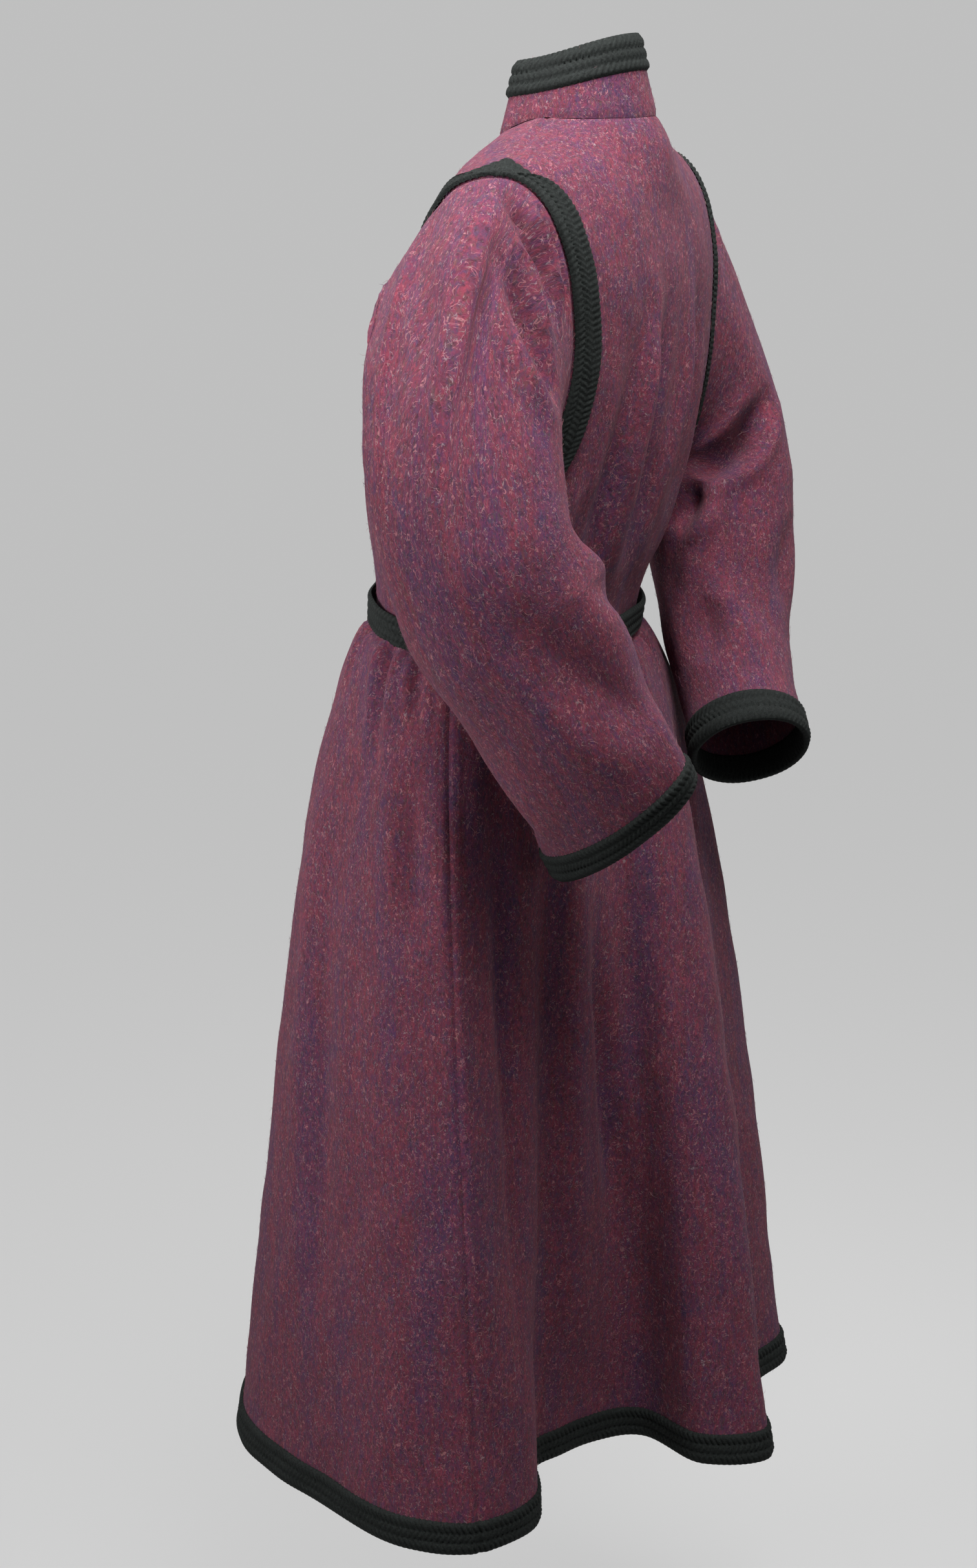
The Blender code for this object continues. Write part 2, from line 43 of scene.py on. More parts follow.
CAMERA_AIM = (0.00555, -0.07985, -0.53028)
CAMERA_SENSOR = 36.0
CAMERA_LENS = 65.618
CAMERA_CLIP = (0.1, 600.0)

# Studio: a pale floor, a sky that darkens upward, and lights with place, side, watts and spread
FLOOR_HEIGHT = -1.46
FLOOR_SIZE = 300.0
FLOOR_GREY = 0.10
FLOOR_GLOW = 0.51
SKY_STOPS = [(0.16, (FLOOR_GLOW, FLOOR_GLOW, FLOOR_GLOW)), (0.50, (0.08, 0.08, 0.08))]
LIGHT_AIM = (0.0, 0.0, -0.22)
LIGHTS = {
    "key": ((0.50, 0.60, 1.15), 0.8, 17.0, 1.4),
    "over": ((0.30, 0.02, 1.20), 0.8, 9.5, 1.5),
    "front": ((1.95, -1.31, 0.50), 0.9, 13.0, 1.1),
    "side": ((0.50, -2.30, 0.45), 0.9, 5.0, 1.2),
    "rim": ((-1.45, 0.98, 0.80), 0.9, 2.5, 1.6),
}

SIDES = ("left", "right")

# Cloth and seams
CLOTH = 0.0024
SEAM_GAP = 0.0003
SEAM_MEET = 0.00022
SEAM_DIP = 0.0011
SEAM_ROLL = 0.0024
PROBE = 0.0005
TURN_PROBE = 0.2

# Braid: rows of plaited wool, folded over the edges that it binds
BRAID_WIDTH = 0.025
BRAID_THICK = 0.0028
BRAID_ROWS = 3
BRAID_GROOVE = 0.0012
BRAID_LAP = 0.0004
BRAID_END_GAP = 0.0008
ARMHOLE_LAP = 0.0009
FRONT_INSET = BRAID_THICK + BRAID_LAP + SEAM_GAP / 2
PLAIT_PITCH = 0.0046
PLAIT_SAMPLES = 5
PLAIT_DEPTH = 0.0019
PLAIT_SCALLOP = 0.0014
PLAIT_SLANTS = (0.62, -0.62, 0.5, -0.5)
PLAIT_SHIFT = 0.37
PLAIT_JITTER = 0.22
PLAIT_JITTER_WAVES = (12.9898, 4.1)
PLAIT_ROUND = 2.4
SCALLOP_MIDDLE = 0.6
PLAIT_FACETS = 5
NOSE_RELIEF = 0.3
NOSE_SHARE = 0.1
NOSE_ANGLES = (62, 90, 118)
NOSE_REACH = 1.05
NOSE_DEPTH = 0.94
EDGE_THICK = 0.55
UNDER_SHARES = (0.0, 0.2, 0.42, 0.62, 0.82, 1.0)
GRAIN_STEP = 0.0016
BRAID_SHARP = 75.0
CLOTH_SHARP = 60.0

# Collar: height of its top, and how far it draws in
COLLAR_TOP_BACK = 0.061
COLLAR_TOP_SIDE = 0.047
COLLAR_TOP_FRONT = 0.038
COLLAR_TAPER = 0.76
COLLAR_LEAN = -0.001

# Belt
BELT_TOP = -0.369
BELT_BOTTOM = -0.397
BELT_THICK = 0.0032
BELT_ROWS = 4
BELT_CLEAR = 0.0036

# Lines round the body, as turns in degrees: 0 is the coat's left side and 90 the back
FRONT = -90.0
BACK = 90.0
SIDE_AT_WAIST = 9.5
SIDE_AT_HEM = 12.0

# Bodice sections from neck to waist
Section = namedtuple("Section", "height spine half_width front back square_front square_back")
BODICE = [
    Section(0.010, -0.006, 0.052, 0.045, 0.056, 2.0, 2.0),
    Section(-0.002, -0.006, 0.064, 0.051, 0.062, 2.0, 1.9),
    Section(-0.014, -0.004, 0.098, 0.054, 0.068, 2.1, 1.5),
    Section(-0.030, -0.003, 0.146, 0.061, 0.071, 2.4, 1.4),
    Section(-0.060, -0.005, 0.168, 0.074, 0.076, 2.6, 1.9),
    Section(-0.105, -0.010, 0.176, 0.093, 0.087, 2.4, 2.2),
    Section(-0.155, -0.020, 0.178, 0.110, 0.096, 2.3, 2.3),
    Section(-0.205, -0.028, 0.174, 0.116, 0.099, 2.3, 2.3),
    Section(-0.260, -0.040, 0.166, 0.114, 0.100, 2.3, 2.3),
    Section(-0.315, -0.054, 0.154, 0.102, 0.101, 2.2, 2.2),
    Section(-0.369, -0.066, 0.135, 0.089, 0.094, 2.2, 2.2),
    Section(-0.397, -0.068, 0.132, 0.089, 0.091, 2.2, 2.2),
]
WAIST = BELT_BOTTOM
WAIST_TILT = 0.13

# Neckline and shoulders
NECK_SPINE = -0.006
NECK_BACK = 0.003
NECK_SIDE = 0.003
NECK_FRONT = -0.028
SHOULDER = -0.032

# Armhole: a leaning oval, seen from the side
ARMHOLE_BOTTOM = -0.280
ARMHOLE_FRONT = 0.079
ARMHOLE_BACK = 0.066
ARMHOLE_SPINE = -0.026
ARMHOLE_TURNS = (-80, 80, 641)
UNDERARM_ROWS = 4

# Skirt lines from waist to hem, once round from the centre front
Line = namedtuple("Line", "name turn hip x y z")
SKIRT = [
    Line("centre front", -90, 0.016, -0.010, -0.308, -1.113),
    Line("left front ridge", -66, 0.032, 0.091, -0.280, -1.115),
    Line("left front", -45, 0.030, 0.142, -0.224, -1.117),
    Line("left front hollow", -26, 0.020, 0.176, -0.144, -1.117),
    Line("left side ridge", -4, 0.026, 0.203, -0.054, -1.117),
    Line("left side seam", 12, 0.026, 0.183, 0.000, -1.117),
    Line("left cone edge", 25, 0.020, 0.128, 0.023, -1.115),
    Line("left deep fold", 40, 0.004, 0.074, -0.008, -1.108),
    Line("left back ridge", 62, 0.012, 0.030, 0.002, -1.105),
    Line("centre back", 90, 0.004, -0.033, 0.052, -1.105),
    Line("right back rise", 108, 0.016, -0.013, 0.114, -1.107),
    Line("right back ridge", 124, 0.024, -0.052, 0.159, -1.110),
    Line("right deep fold", 144, 0.032, -0.130, 0.102, -1.104),
    Line("right side ridge", 162, 0.060, -0.216, 0.110, -1.100),
    Line("right side", 180, 0.046, -0.262, 0.032, -1.102),
    Line("right front hollow", 206, 0.014, -0.236, -0.118, -1.106),
    Line("right front", 226, 0.020, -0.200, -0.210, -1.110),
    Line("right front ridge", 248, 0.024, -0.128, -0.282, -1.112),
]
HIP_PEAK = 2.46
HIP_RISE = 0.4
HIP_FADE = 1.2
SKIRT_DROPS = (0.0, 0.03, 0.09, 0.18, 0.30, 0.43, 0.57, 0.71, 0.85, 0.965, 1.0)

# Sleeve rings from upper arm to cuff: centre, half the width fore and aft, half the depth, and tilt
Ring = namedtuple("Ring", "name x y z across deep tilt")
SLEEVES = {
    "left": [
        Ring("upper arm", 0.208, 0.018, -0.306, 0.077, 0.055, 0),
        Ring("elbow", 0.198, 0.029, -0.342, 0.081, 0.054, 6),
        Ring("below elbow", 0.185, 0.046, -0.379, 0.079, 0.052, 12),
        Ring("forearm", 0.167, 0.064, -0.423, 0.079, 0.048, 16),
        Ring("above cuff", 0.143, 0.078, -0.469, 0.085, 0.043, 27),
        Ring("cuff", 0.113, 0.086, -0.516, 0.090, 0.038, 31),
    ],
    "right": [
        Ring("upper arm", -0.208, 0.026, -0.306, 0.069, 0.055, 0),
        Ring("elbow", -0.203, 0.034, -0.348, 0.065, 0.056, 0),
        Ring("below elbow", -0.192, 0.044, -0.395, 0.059, 0.054, 0),
        Ring("forearm", -0.170, 0.059, -0.439, 0.052, 0.052, 0),
        Ring("above cuff", -0.142, 0.080, -0.475, 0.048, 0.049, 0),
        Ring("cuff", -0.110, 0.102, -0.507, 0.049, 0.044, 0),
    ],
}
CAP_STEPS = (0.0, 0.10, 0.26, 0.46, 0.70, 1.0)
CAP_SPRING = 1.0
CAP_PUFF = 0.45
CAP_LEAN = 0.58
CAP_TURN = 0.34
CAP_FALL = 0.9
TUBE_STEPS = 9
# The wool's grain runs down a sleeve: half its depth and width, and the length of the cap
GRAIN_DEEP = 0.06
GRAIN_ACROSS = 0.075
GRAIN_CAP = 0.24

# Broad folds of the source: the row and column where each starts and ends, its spread and height
Fold = namedtuple("Fold", "row column to_row to_column spread height")
BACK_FOLDS = [
    Fold(6.0, 5.5, 13.4, 2.4, 0.9, 0.004),
    Fold(8.0, 8.6, 13.4, 5.2, 0.9, -0.003),
]
FRONT_FOLDS = [
    Fold(9.0, 9.5, 13.4, 8.0, 0.9, 0.003),
]
SLEEVE_FOLDS = {
    "left": [
        Fold(1.0, 1.6, 4.6, 3.6, 0.8, -0.004),
        Fold(7.5, 1.2, 13.0, 4.2, 1.1, -0.005),
    ],
    "right": [
        Fold(2.6, 5.0, 6.4, 10.5, 0.9, -0.006),
        Fold(7.0, 9.0, 12.0, 7.0, 1.0, 0.004),
    ],
}

# Creases, given as stations of source row and column. Each has its spread, how deep it
# sinks (less than zero is a ridge), and the share of its length where it is deepest.
Crease = namedtuple("Crease", "stations spread depth peak")
BODY_CREASES = {
    "back_left": [
        Crease(((3.97, 4.14), (6.0, 4.12), (7.33, 5.2), (9.83, 5.0), (13.2, 3.4)), 0.0106, -0.0068, 0.5),
        Crease(((15.4, 10.4), (17.6, 10.1), (20.4, 10.0), (23.2, 10.1)), 0.023, 0.0175, 0.45),
        Crease(((16.4, 7.0), (18.2, 5.7), (20.1, 4.8), (22.0, 3.6), (23.8, 3.0)), 0.02, -0.008, 0.5),
        Crease(((6.5, 7.4), (9.0, 7.6), (13.4, 5.6)), 0.009, 0.0052, 0.7),
        Crease(((5.0, 2.2), (8.0, 2.7), (12.6, 1.5)), 0.0112, 0.006, 0.6),
        Crease(((9.6, 9.6), (11.4, 8.8), (13.6, 7.6)), 0.0101, -0.006, 0.6),
        Crease(((14.9, 3.4), (16.2, 3.9), (17.6, 4.3)), 0.0067, 0.0072, 0.15),
        Crease(((14.9, 6.9), (15.9, 7.2), (16.8, 7.5)), 0.0054, 0.0052, 0.2),
        Crease(((18.83, 3.26), (20.51, 1.96), (22.22, 1.23)), 0.0101, 0.0084, 0.5),
        Crease(((17.0, 10.9), (19.5, 10.5), (22.5, 10.2)), 0.0101, -0.0032, 0.4),
    ],
    "back_right": [
        Crease(((4.36, 3.09), (7.45, 3.0), (9.5, 1.6), (13.0, 0.7)), 0.0106, -0.0068, 0.5),
        Crease(((5.6, 5.6), (8.6, 5.4), (12.8, 3.4)), 0.0101, 0.0056, 0.5),
        Crease(((7.4, 8.2), (10.0, 7.6), (13.2, 5.6)), 0.0095, -0.0056, 0.6),
        Crease(((14.9, 2.0), (16.0, 2.3), (17.8, 2.1)), 0.0073, 0.0072, 0.15),
        Crease(((14.9, 6.0), (16.1, 6.4), (17.2, 6.9)), 0.0058, 0.006, 0.2),
        Crease(((14.9, 9.4), (15.7, 9.6), (16.9, 9.9)), 0.0054, 0.0052, 0.2),
        Crease(((17.6, 8.2), (20.0, 7.4), (22.8, 6.8)), 0.0134, 0.0072, 0.5),
    ],
    "front_left": [
        Crease(((14.71, 8.63), (15.85, 8.72), (17.4, 8.9)), 0.0069, 0.0088, 0.15),
        Crease(((14.9, 5.4), (15.9, 5.5), (16.7, 5.8)), 0.0056, 0.0056, 0.2),
        Crease(((14.9, 2.9), (15.6, 3.0), (17.0, 3.1)), 0.0065, 0.0064, 0.2),
        Crease(((14.9, 10.6), (15.7, 10.6), (16.6, 10.8)), 0.005, 0.0052, 0.2),
        Crease(((17.2, 10.7), (17.9, 10.75), (19.0, 10.9)), 0.0123, 0.006, 0.5),
        Crease(((17.5, 6.6), (20.0, 6.9), (22.6, 7.3)), 0.0168, 0.006, 0.5),
        Crease(((6.6, 8.4), (9.0, 8.9), (13.2, 7.4)), 0.0112, 0.0056, 0.6),
        Crease(((8.4, 5.6), (10.6, 5.4), (13.4, 4.6)), 0.0123, -0.0052, 0.6),
    ],
    "front_right": [
        Crease(((14.9, 7.9), (15.8, 8.1), (17.2, 8.4)), 0.0065, 0.008, 0.15),
        Crease(((14.9, 4.6), (15.7, 4.6), (16.9, 4.8)), 0.0058, 0.006, 0.2),
        Crease(((14.9, 2.4), (15.9, 2.5), (16.6, 2.5)), 0.0052, 0.0048, 0.2),
        Crease(((14.9, 10.4), (15.9, 10.5), (16.8, 10.8)), 0.0056, 0.0056, 0.2),
        Crease(((17.8, 9.4), (20.4, 9.0), (23.0, 8.8)), 0.0157, 0.0068, 0.5),
        Crease(((17.2, 5.2), (19.4, 5.4), (21.6, 5.2)), 0.0146, 0.0048, 0.5),
        Crease(((6.9, 8.0), (9.4, 8.6), (13.0, 7.8)), 0.0112, 0.006, 0.6),
        Crease(((8.0, 5.0), (10.9, 5.2), (13.3, 4.2)), 0.0123, -0.0044, 0.6),
    ],
}
SLEEVE_CREASES = {
    "left": [
        Crease(((0.35, 0.29), (0.9, 1.5), (1.06, 2.48), (1.6, 3.7)), 0.0075, 0.012, 0.4),
        Crease(((0.85, 0.4), (1.4, 1.6), (1.5, 2.5), (2.0, 3.7)), 0.0085, -0.0055, 0.45),
        Crease(((0.12, 1.5), (0.22, 2.4), (0.28, 3.0), (0.5, 3.9)), 0.0062, 0.014, 0.4),
        Crease(((0.42, 1.2), (0.62, 2.3), (0.68, 2.9), (0.8, 3.8)), 0.006, -0.005, 0.45),
        Crease(((1.7, 1.9), (2.21, 2.94), (2.51, 3.61), (2.6, 4.45)), 0.0085, 0.0125, 0.5),
        Crease(((2.2, 1.9), (2.65, 2.9), (2.95, 3.6), (3.2, 4.6)), 0.0095, -0.006, 0.5),
        Crease(((1.5, 16.8), (2.3, 17.1), (3.4, 17.4)), 0.0126, 0.0059, 0.5),
        Crease(((5.4, 1.6), (7.13, 2.0), (8.9, 2.8), (11.71, 5.0)), 0.023, 0.0126, 0.65),
        Crease(((4.3, 5.2), (5.2, 6.4), (5.9, 8.2)), 0.0092, 0.0105, 0.5),
        Crease(((5.0, 4.6), (6.4, 5.8), (7.6, 8.0)), 0.0103, -0.0063, 0.5),
        Crease(((3.2, 13.8), (4.4, 12.4), (5.6, 10.8)), 0.0103, 0.0092, 0.5),
        Crease(((8.8, 12.4), (10.6, 14.0), (12.6, 15.2)), 0.0161, 0.0076, 0.5),
        Crease(((0.4, 15.0), (1.2, 14.2), (2.2, 13.2)), 0.0069, 0.0076, 0.4),
    ],
    "right": [
        Crease(((3.5, 4.35), (3.61, 4.84), (3.65, 5.63), (3.79, 6.56), (4.18, 7.8), (5.2, 8.73)),
               0.0103, 0.0199, 0.6),
        Crease(((4.07, 6.62), (5.3, 8.3), (6.05, 8.62), (7.14, 9.2), (9.0, 10.2)), 0.0086, -0.0063, 0.4),
        Crease(((4.94, 8.5), (5.78, 9.28), (6.45, 9.89)), 0.0115, 0.0168, 0.5),
        Crease(((9.29, 8.4), (10.2, 9.0), (11.6, 9.8)), 0.0172, 0.0084, 0.5),
        Crease(((6.2, 4.2), (7.6, 5.0), (9.6, 5.2)), 0.0138, 0.0063, 0.5),
        Crease(((0.4, 16.6), (1.1, 15.4), (1.7, 14.4)), 0.0069, 0.0084, 0.4),
        Crease(((0.35, 1.2), (0.9, 2.4), (1.3, 3.4)), 0.0067, 0.0076, 0.4),
        Crease(((3.4, 13.6), (4.6, 12.2), (5.8, 10.9)), 0.0103, 0.0101, 0.5),
        Crease(((8.6, 13.6), (10.4, 14.6), (12.4, 14.8)), 0.0149, 0.0063, 0.5),
    ],
}
POCKET_LINE = Crease(((15.5, 11.70), (17.0, 11.69), (18.8, 11.70)), 0.0008, 0.0010, 0.6)
CREASE_STATIONS = 22
CREASE_REACH = 6
CREASE_MARGIN = 0.02
CREASE_START = 0.007
CREASE_ROUND = 1.6
SHOULDER_SHARE = 0.34
SHOULDER_PLACE = 1.9
SHOULDER_SPREAD = 0.8
SEAM_ALLOWANCE = 0.0098
ALLOWANCE_RISE = 0.0006
ALLOWANCE_EDGE = 0.0025
SIDE_SEAM_DIP = 1.4

# Slow unevenness of the cloth: how far it swells, its wave numbers and its phase
UNEVEN_BEND = 0.8
UNEVEN_BEND_SCALE = 0.37
UNEVEN = [
    (0.00071, (31.0, 17.0, 9.0), 0.4),
    (0.00061, (-23.0, 41.0, 15.0), 1.9),
    (0.00051, (52.0, -37.0, 21.0), 3.1),
    (0.00041, (-64.0, -58.0, 33.0), 5.2),
    (0.00027, (90.0, 71.0, -62.0), 0.9),
    (0.00022, (-120.0, 83.0, 77.0), 2.6),
]

# Loose fibres of the nap, in metres
FIBRE_LENGTH = 0.0046
FIBRE_RISE = 0.0008
FIBRE_RADIUS = 0.0001
FIBRE_ROOT = 0.0004
FIBRE_JOINTS = 2
FIBRE_FALL = 0.6
FIBRE_CURL = 0.8
FIBRE_ARCH = 1.2
FIBRE_CORNERS = (90, 210, 330)
FIBRE_LENGTH_SPREAD = 0.45
FIBRE_RISE_SPREAD = 0.35
FIBRE_COUNTS = {"front_left": 4600, "front_right": 2900, "back": 6500, "collar": 600,
                "sleeve_left": 3600, "sleeve_right": 2300}

# Looks. The melange has stripes, then blotches by noise: scale, stretch, detail, distortion, offset
# and roughness, and the range over which they come in with their largest share. Threads have scale,
# offset, width and how broken up they are.
VIOLET = (0.029, 0.015, 0.045)
ROSE = (0.144, 0.024, 0.035)
SLATE = (0.022, 0.023, 0.042)
OLIVE = (0.042, 0.029, 0.022)
BLACK = (0.014, 0.006, 0.010)
PINK = (0.200, 0.086, 0.093)
PALE = (0.142, 0.111, 0.117)
WOOL_STRIPES = [(0.36, (0.050, 0.014, 0.035)), (0.50, (0.071, 0.014, 0.024)), (0.66, (0.080, 0.016, 0.029))]
WOOL_BLOTCHES = [
    (VIOLET, (400, 0.07, 2, 0.2, 17.0, 0.6), (0.46, 0.70, 0.35)),
    (VIOLET, (110, 0.50, 3, 0.9, 3.0, 0.65), (0.48, 0.66, 0.60)),
    (ROSE, (120, 0.50, 3, 0.9, 9.0, 0.65), (0.50, 0.68, 0.32)),
    (SLATE, (400, 0.5, 3, 1.0, 7.0, 0.6), (0.48, 0.64, 0.55)),
    (ROSE, (430, 0.5, 3, 1.1, 13.0, 0.6), (0.50, 0.66, 0.42)),
    (OLIVE, (390, 0.5, 3, 1.0, 21.0, 0.6), (0.52, 0.68, 0.50)),
    (BLACK, (520, 0.6, 3, 0.8, 29.0, 0.6), (0.50, 0.68, 0.60)),
]
WOOL_THREADS = [(PINK, (170, 31.0, 0.026, 0.50)), (PALE, (210, 37.0, 0.024, 0.54))]
FIBRE_STOPS = [(0.0, (0.085, 0.020, 0.033)), (0.25, (0.050, 0.030, 0.066)), (0.45, (0.120, 0.034, 0.044)),
               (0.72, (0.135, 0.058, 0.062)), (1.0, (0.175, 0.114, 0.108))]
BRAID_STOPS = [(0.35, (0.0022, 0.0026, 0.0024)), (0.72, (0.0120, 0.0145, 0.0135))]
WOOL_STRIPE_GRAIN = (36, 0.12, 2, 0.3)
WOOL_RELIEF = ((640, 0.6, 4, 1.5, 41.0, 0.7), (150, 0.6, 2, 0.3, 51.0))
WOOL_BUMP = (0.65, 0.0012)
BRAID_GRAIN = {"Scale": 900.0, "Detail": 4.0, "Distortion": 1.2}
BRAID_BUMP = (0.5, 0.0006)
WOOL_SURFACE = {"Roughness": 0.92, "Specular IOR Level": 0.10, "Sheen Weight": 0.035,
                "Sheen Roughness": 0.45, "Sheen Tint": (0.92, 0.60, 0.72, 1.0)}
FIBRE_SURFACE = {"Roughness": 0.8, "Specular IOR Level": 0.3}
BRAID_SURFACE = {"Roughness": 0.85, "Specular IOR Level": 0.10, "Sheen Weight": 0.004,
                 "Sheen Roughness": 0.5}
FLOOR_SURFACE = {"Base Color": (FLOOR_GREY, FLOOR_GREY, FLOOR_GREY, 1.0), "Roughness": 1.0,
                 "Specular IOR Level": 0.0, "Emission Color": (1.0, 1.0, 1.0, 1.0),
                 "Emission Strength": FLOOR_GLOW}

# Rows and columns of the source's cloth, and how finely they are followed here
PANEL_COLUMNS = 12
SHOULDER_ROWS = 3
ARMHOLE_ROWS = 9
RIB_ROWS = 2
BELT_ROW = SHOULDER_ROWS + ARMHOLE_ROWS + RIB_ROWS
WAIST_ROW = BELT_ROW + 1
FINE = 6
SKIRT_FINE = 138
HEM_FINE = 6
BAND_POINTS = 7
COLLAR_FRONT_COLUMNS = 12
FINE_COLUMNS = 74
ROW_SAMPLES = 201
COLLAR_FINE = (0.0, 0.06, 0.14, 0.28, 0.46, 0.64, 0.82, 1.0)
NEAR_SEAM = (0.0, 0.0008, 0.0020, 0.0038, 0.0062, 0.0074, 0.0086, 0.0112, 0.0145)
NEAR_NECK = (0.0, 0.03, 0.07, 0.12)
NEAR_CAP = (0.0, 0.006, 0.014, 0.026, 0.042)


def curve(places, values, at):
    """A smooth curve through the values at their places."""
    places = np.asarray(places, float)
    values = np.asarray(values, float)
    at = np.asarray(at, float)
    steps = np.diff(places)
    slopes = np.diff(values) / steps
    tangents = np.empty_like(values)
    tangents[0] = slopes[0]
    tangents[-1] = slopes[-1]
    tangents[1:-1] = (slopes[1:] * steps[:-1] + slopes[:-1] * steps[1:]) / (steps[1:] + steps[:-1])
    i = np.clip(np.searchsorted(places, at, side="right") - 1, 0, len(steps) - 1)
    t = (at - places[i]) / steps[i]
    start = (1 + 2 * t) * (1 - t) ** 2 * values[i] + t * (1 - t) ** 2 * steps[i] * tangents[i]
    end = t * t * (3 - 2 * t) * values[i + 1] - t * t * (1 - t) * steps[i] * tangents[i + 1]
    return start + end


def unit(vectors):
    return vectors / np.linalg.norm(vectors, axis=-1, keepdims=True)


def run_lengths(points, axis=0):
    """How far along a line each of its points is."""
    steps = np.linalg.norm(np.diff(points, axis=axis), axis=-1)
    start = np.zeros_like(np.take(steps, [0], axis=axis))
    return np.concatenate([start, np.cumsum(steps, axis=axis)], axis)


def bodice_column(column, height):
    heights = [row.height for row in BODICE]
    values = [getattr(row, column) for row in BODICE]
    return curve(heights[::-1], values[::-1], height)


def skirt_column(column, turn):
    rows = SKIRT[-3:] + SKIRT + SKIRT[:3]
    turns = [row.turn for row in rows]
    turns = [t - 360 for t in turns[:3]] + turns[3:-3] + [t + 360 for t in turns[-3:]]
    wrapped = (np.asarray(turn, float) - SKIRT[0].turn) % 360 + SKIRT[0].turn
    return curve(turns, [getattr(row, column) for row in rows], wrapped)


def bodice_point(turn, height):
    angle = np.radians(turn)
    side, fore = np.cos(angle), np.sin(angle)
    depth = np.where(fore > 0, bodice_column("back", height), bodice_column("front", height))
    width = bodice_column("half_width", height)
    square = np.where(fore > 0, bodice_column("square_back", height),
                      bodice_column("square_front", height))
    reach = ((np.abs(side) / width) ** square + (np.abs(fore) / depth) ** square) ** (-1 / square)
    spine = bodice_column("spine", height)
    dip = WAIST_TILT * reach * fore * height / WAIST
    return np.stack([reach * side, spine + reach * fore, height - dip], -1)


def skirt_point(turn, drop):
    waist = bodice_point(turn, WAIST + 0 * turn)
    hem = np.stack([skirt_column(column, turn) for column in ("x", "y", "z")], -1)
    left = np.maximum(1 - drop, 0.0)
    swell = HIP_PEAK * drop ** HIP_RISE * left ** HIP_FADE * skirt_column("hip", turn)
    angle = np.radians(turn)
    outward = np.stack([np.cos(angle), np.sin(angle), 0 * angle], -1)
    return waist + (hem - waist) * drop[..., None] + outward * swell[..., None]


def body(turn, level):
    """A place on the coat's body. Level is the height down to the waist, then the waist less the
    share of the way down the skirt."""
    turn, level = np.broadcast_arrays(np.asarray(turn, float), np.asarray(level, float))
    upper = bodice_point(turn, np.maximum(level, WAIST))
    lower = skirt_point(turn, np.maximum(WAIST - level, 0.0))
    return np.where((level >= WAIST)[..., None], upper, lower)


def body_normal(turn, level):
    along = body(turn + TURN_PROBE, level) - body(turn - TURN_PROBE, level)
    upward = body(turn, level + PROBE) - body(turn, level - PROBE)
    return unit(np.cross(along, upward))


def armhole_turn(height, back):
    """Turn of the armhole's seam at a height, on its back or its front side."""
    up = np.clip(2 * (height - ARMHOLE_BOTTOM) / (SHOULDER - ARMHOLE_BOTTOM) - 1, -1, 1)
    top = bodice_column("spine", SHOULDER)
    spine = ARMHOLE_SPINE + (top - ARMHOLE_SPINE) * (up + 1) / 2
    bow = np.sqrt(1 - up ** 2)
    aim = spine + ARMHOLE_BACK * bow if back else spine - ARMHOLE_FRONT * bow
    turns = np.linspace(*ARMHOLE_TURNS)
    return np.interp(aim, body(turns, height)[:, 1], turns)


def row_places():
    """Fine rows of a panel, in rows of the source."""
    upper = np.concatenate([NEAR_NECK, np.arange(1, WAIST_ROW * FINE) / FINE])
    drops = np.concatenate([np.linspace(0, SKIRT_DROPS[-2], SKIRT_FINE + 1),
                            np.linspace(SKIRT_DROPS[-2], 1, HEM_FINE + 1)[1:]])
    skirt = np.interp(drops, SKIRT_DROPS, np.arange(len(SKIRT_DROPS)) + WAIST_ROW)
    return np.concatenate([upper, skirt])


def panel_edge(back, rows):
    """Turns and levels of a panel's outer edge: along the shoulder, the armhole and the side."""
    armhole_end = SHOULDER_ROWS + ARMHOLE_ROWS
    underarm = armhole_turn(ARMHOLE_BOTTOM, back)
    turns, levels = [], []
    for row in rows:
        if row < SHOULDER_ROWS:
            turn, level = 0.0, NECK_SIDE + (SHOULDER - NECK_SIDE) * row / SHOULDER_ROWS
        elif row <= armhole_end:
            swing = np.pi * (row - SHOULDER_ROWS) / ARMHOLE_ROWS
            level = ARMHOLE_BOTTOM + (SHOULDER - ARMHOLE_BOTTOM) * (1 + np.cos(swing)) / 2
            turn = armhole_turn(level, back)
        elif row <= WAIST_ROW:
            level = np.interp(row, [armhole_end, BELT_ROW, WAIST_ROW],
                              [ARMHOLE_BOTTOM, BELT_TOP, BELT_BOTTOM])
            share = (ARMHOLE_BOTTOM - level) / (ARMHOLE_BOTTOM - WAIST)
            turn = underarm + (SIDE_AT_WAIST - underarm) * share
        else:
            drop = np.interp(row, np.arange(len(SKIRT_DROPS)) + WAIST_ROW, SKIRT_DROPS)
            turn, level = SIDE_AT_WAIST + (SIDE_AT_HEM - SIDE_AT_WAIST) * drop, WAIST - drop
        turns.append(float(turn))
        levels.append(float(level))
    return np.array(turns), np.array(levels)


def column_lengths(total, back):
    """How far from the centre line each fine column lies on a row of a given length."""
    far = total - SEAM_GAP / 2 - np.array(NEAR_SEAM[::-1])
    near = np.array([0.0 if back else FRONT_INSET])
    between = np.linspace(near[-1], far[0], FINE_COLUMNS + 2 - len(near) - len(far))[1:-1]
    return np.concatenate([near, between, far])


def source_columns(back, row, total, fine, lengths):
    """Shares along a row of the source's columns."""
    start = 0.0 if back else np.interp(BRAID_WIDTH, lengths, fine)
    first = 0 if back else 1
    plain = np.linspace(0, 1, PANEL_COLUMNS + 1)
    plain[first:] = np.linspace(start, 1, PANEL_COLUMNS + 1 - first)
    banded = plain.copy()
    end = np.interp(total - BRAID_WIDTH, lengths, fine)
    banded[first:-1] = np.linspace(start, end, PANEL_COLUMNS - first)
    share = np.clip(min(row - SHOULDER_ROWS + 1, SHOULDER_ROWS + ARMHOLE_ROWS + 1 - row), 0, 1)
    return plain + (banded - plain) * share


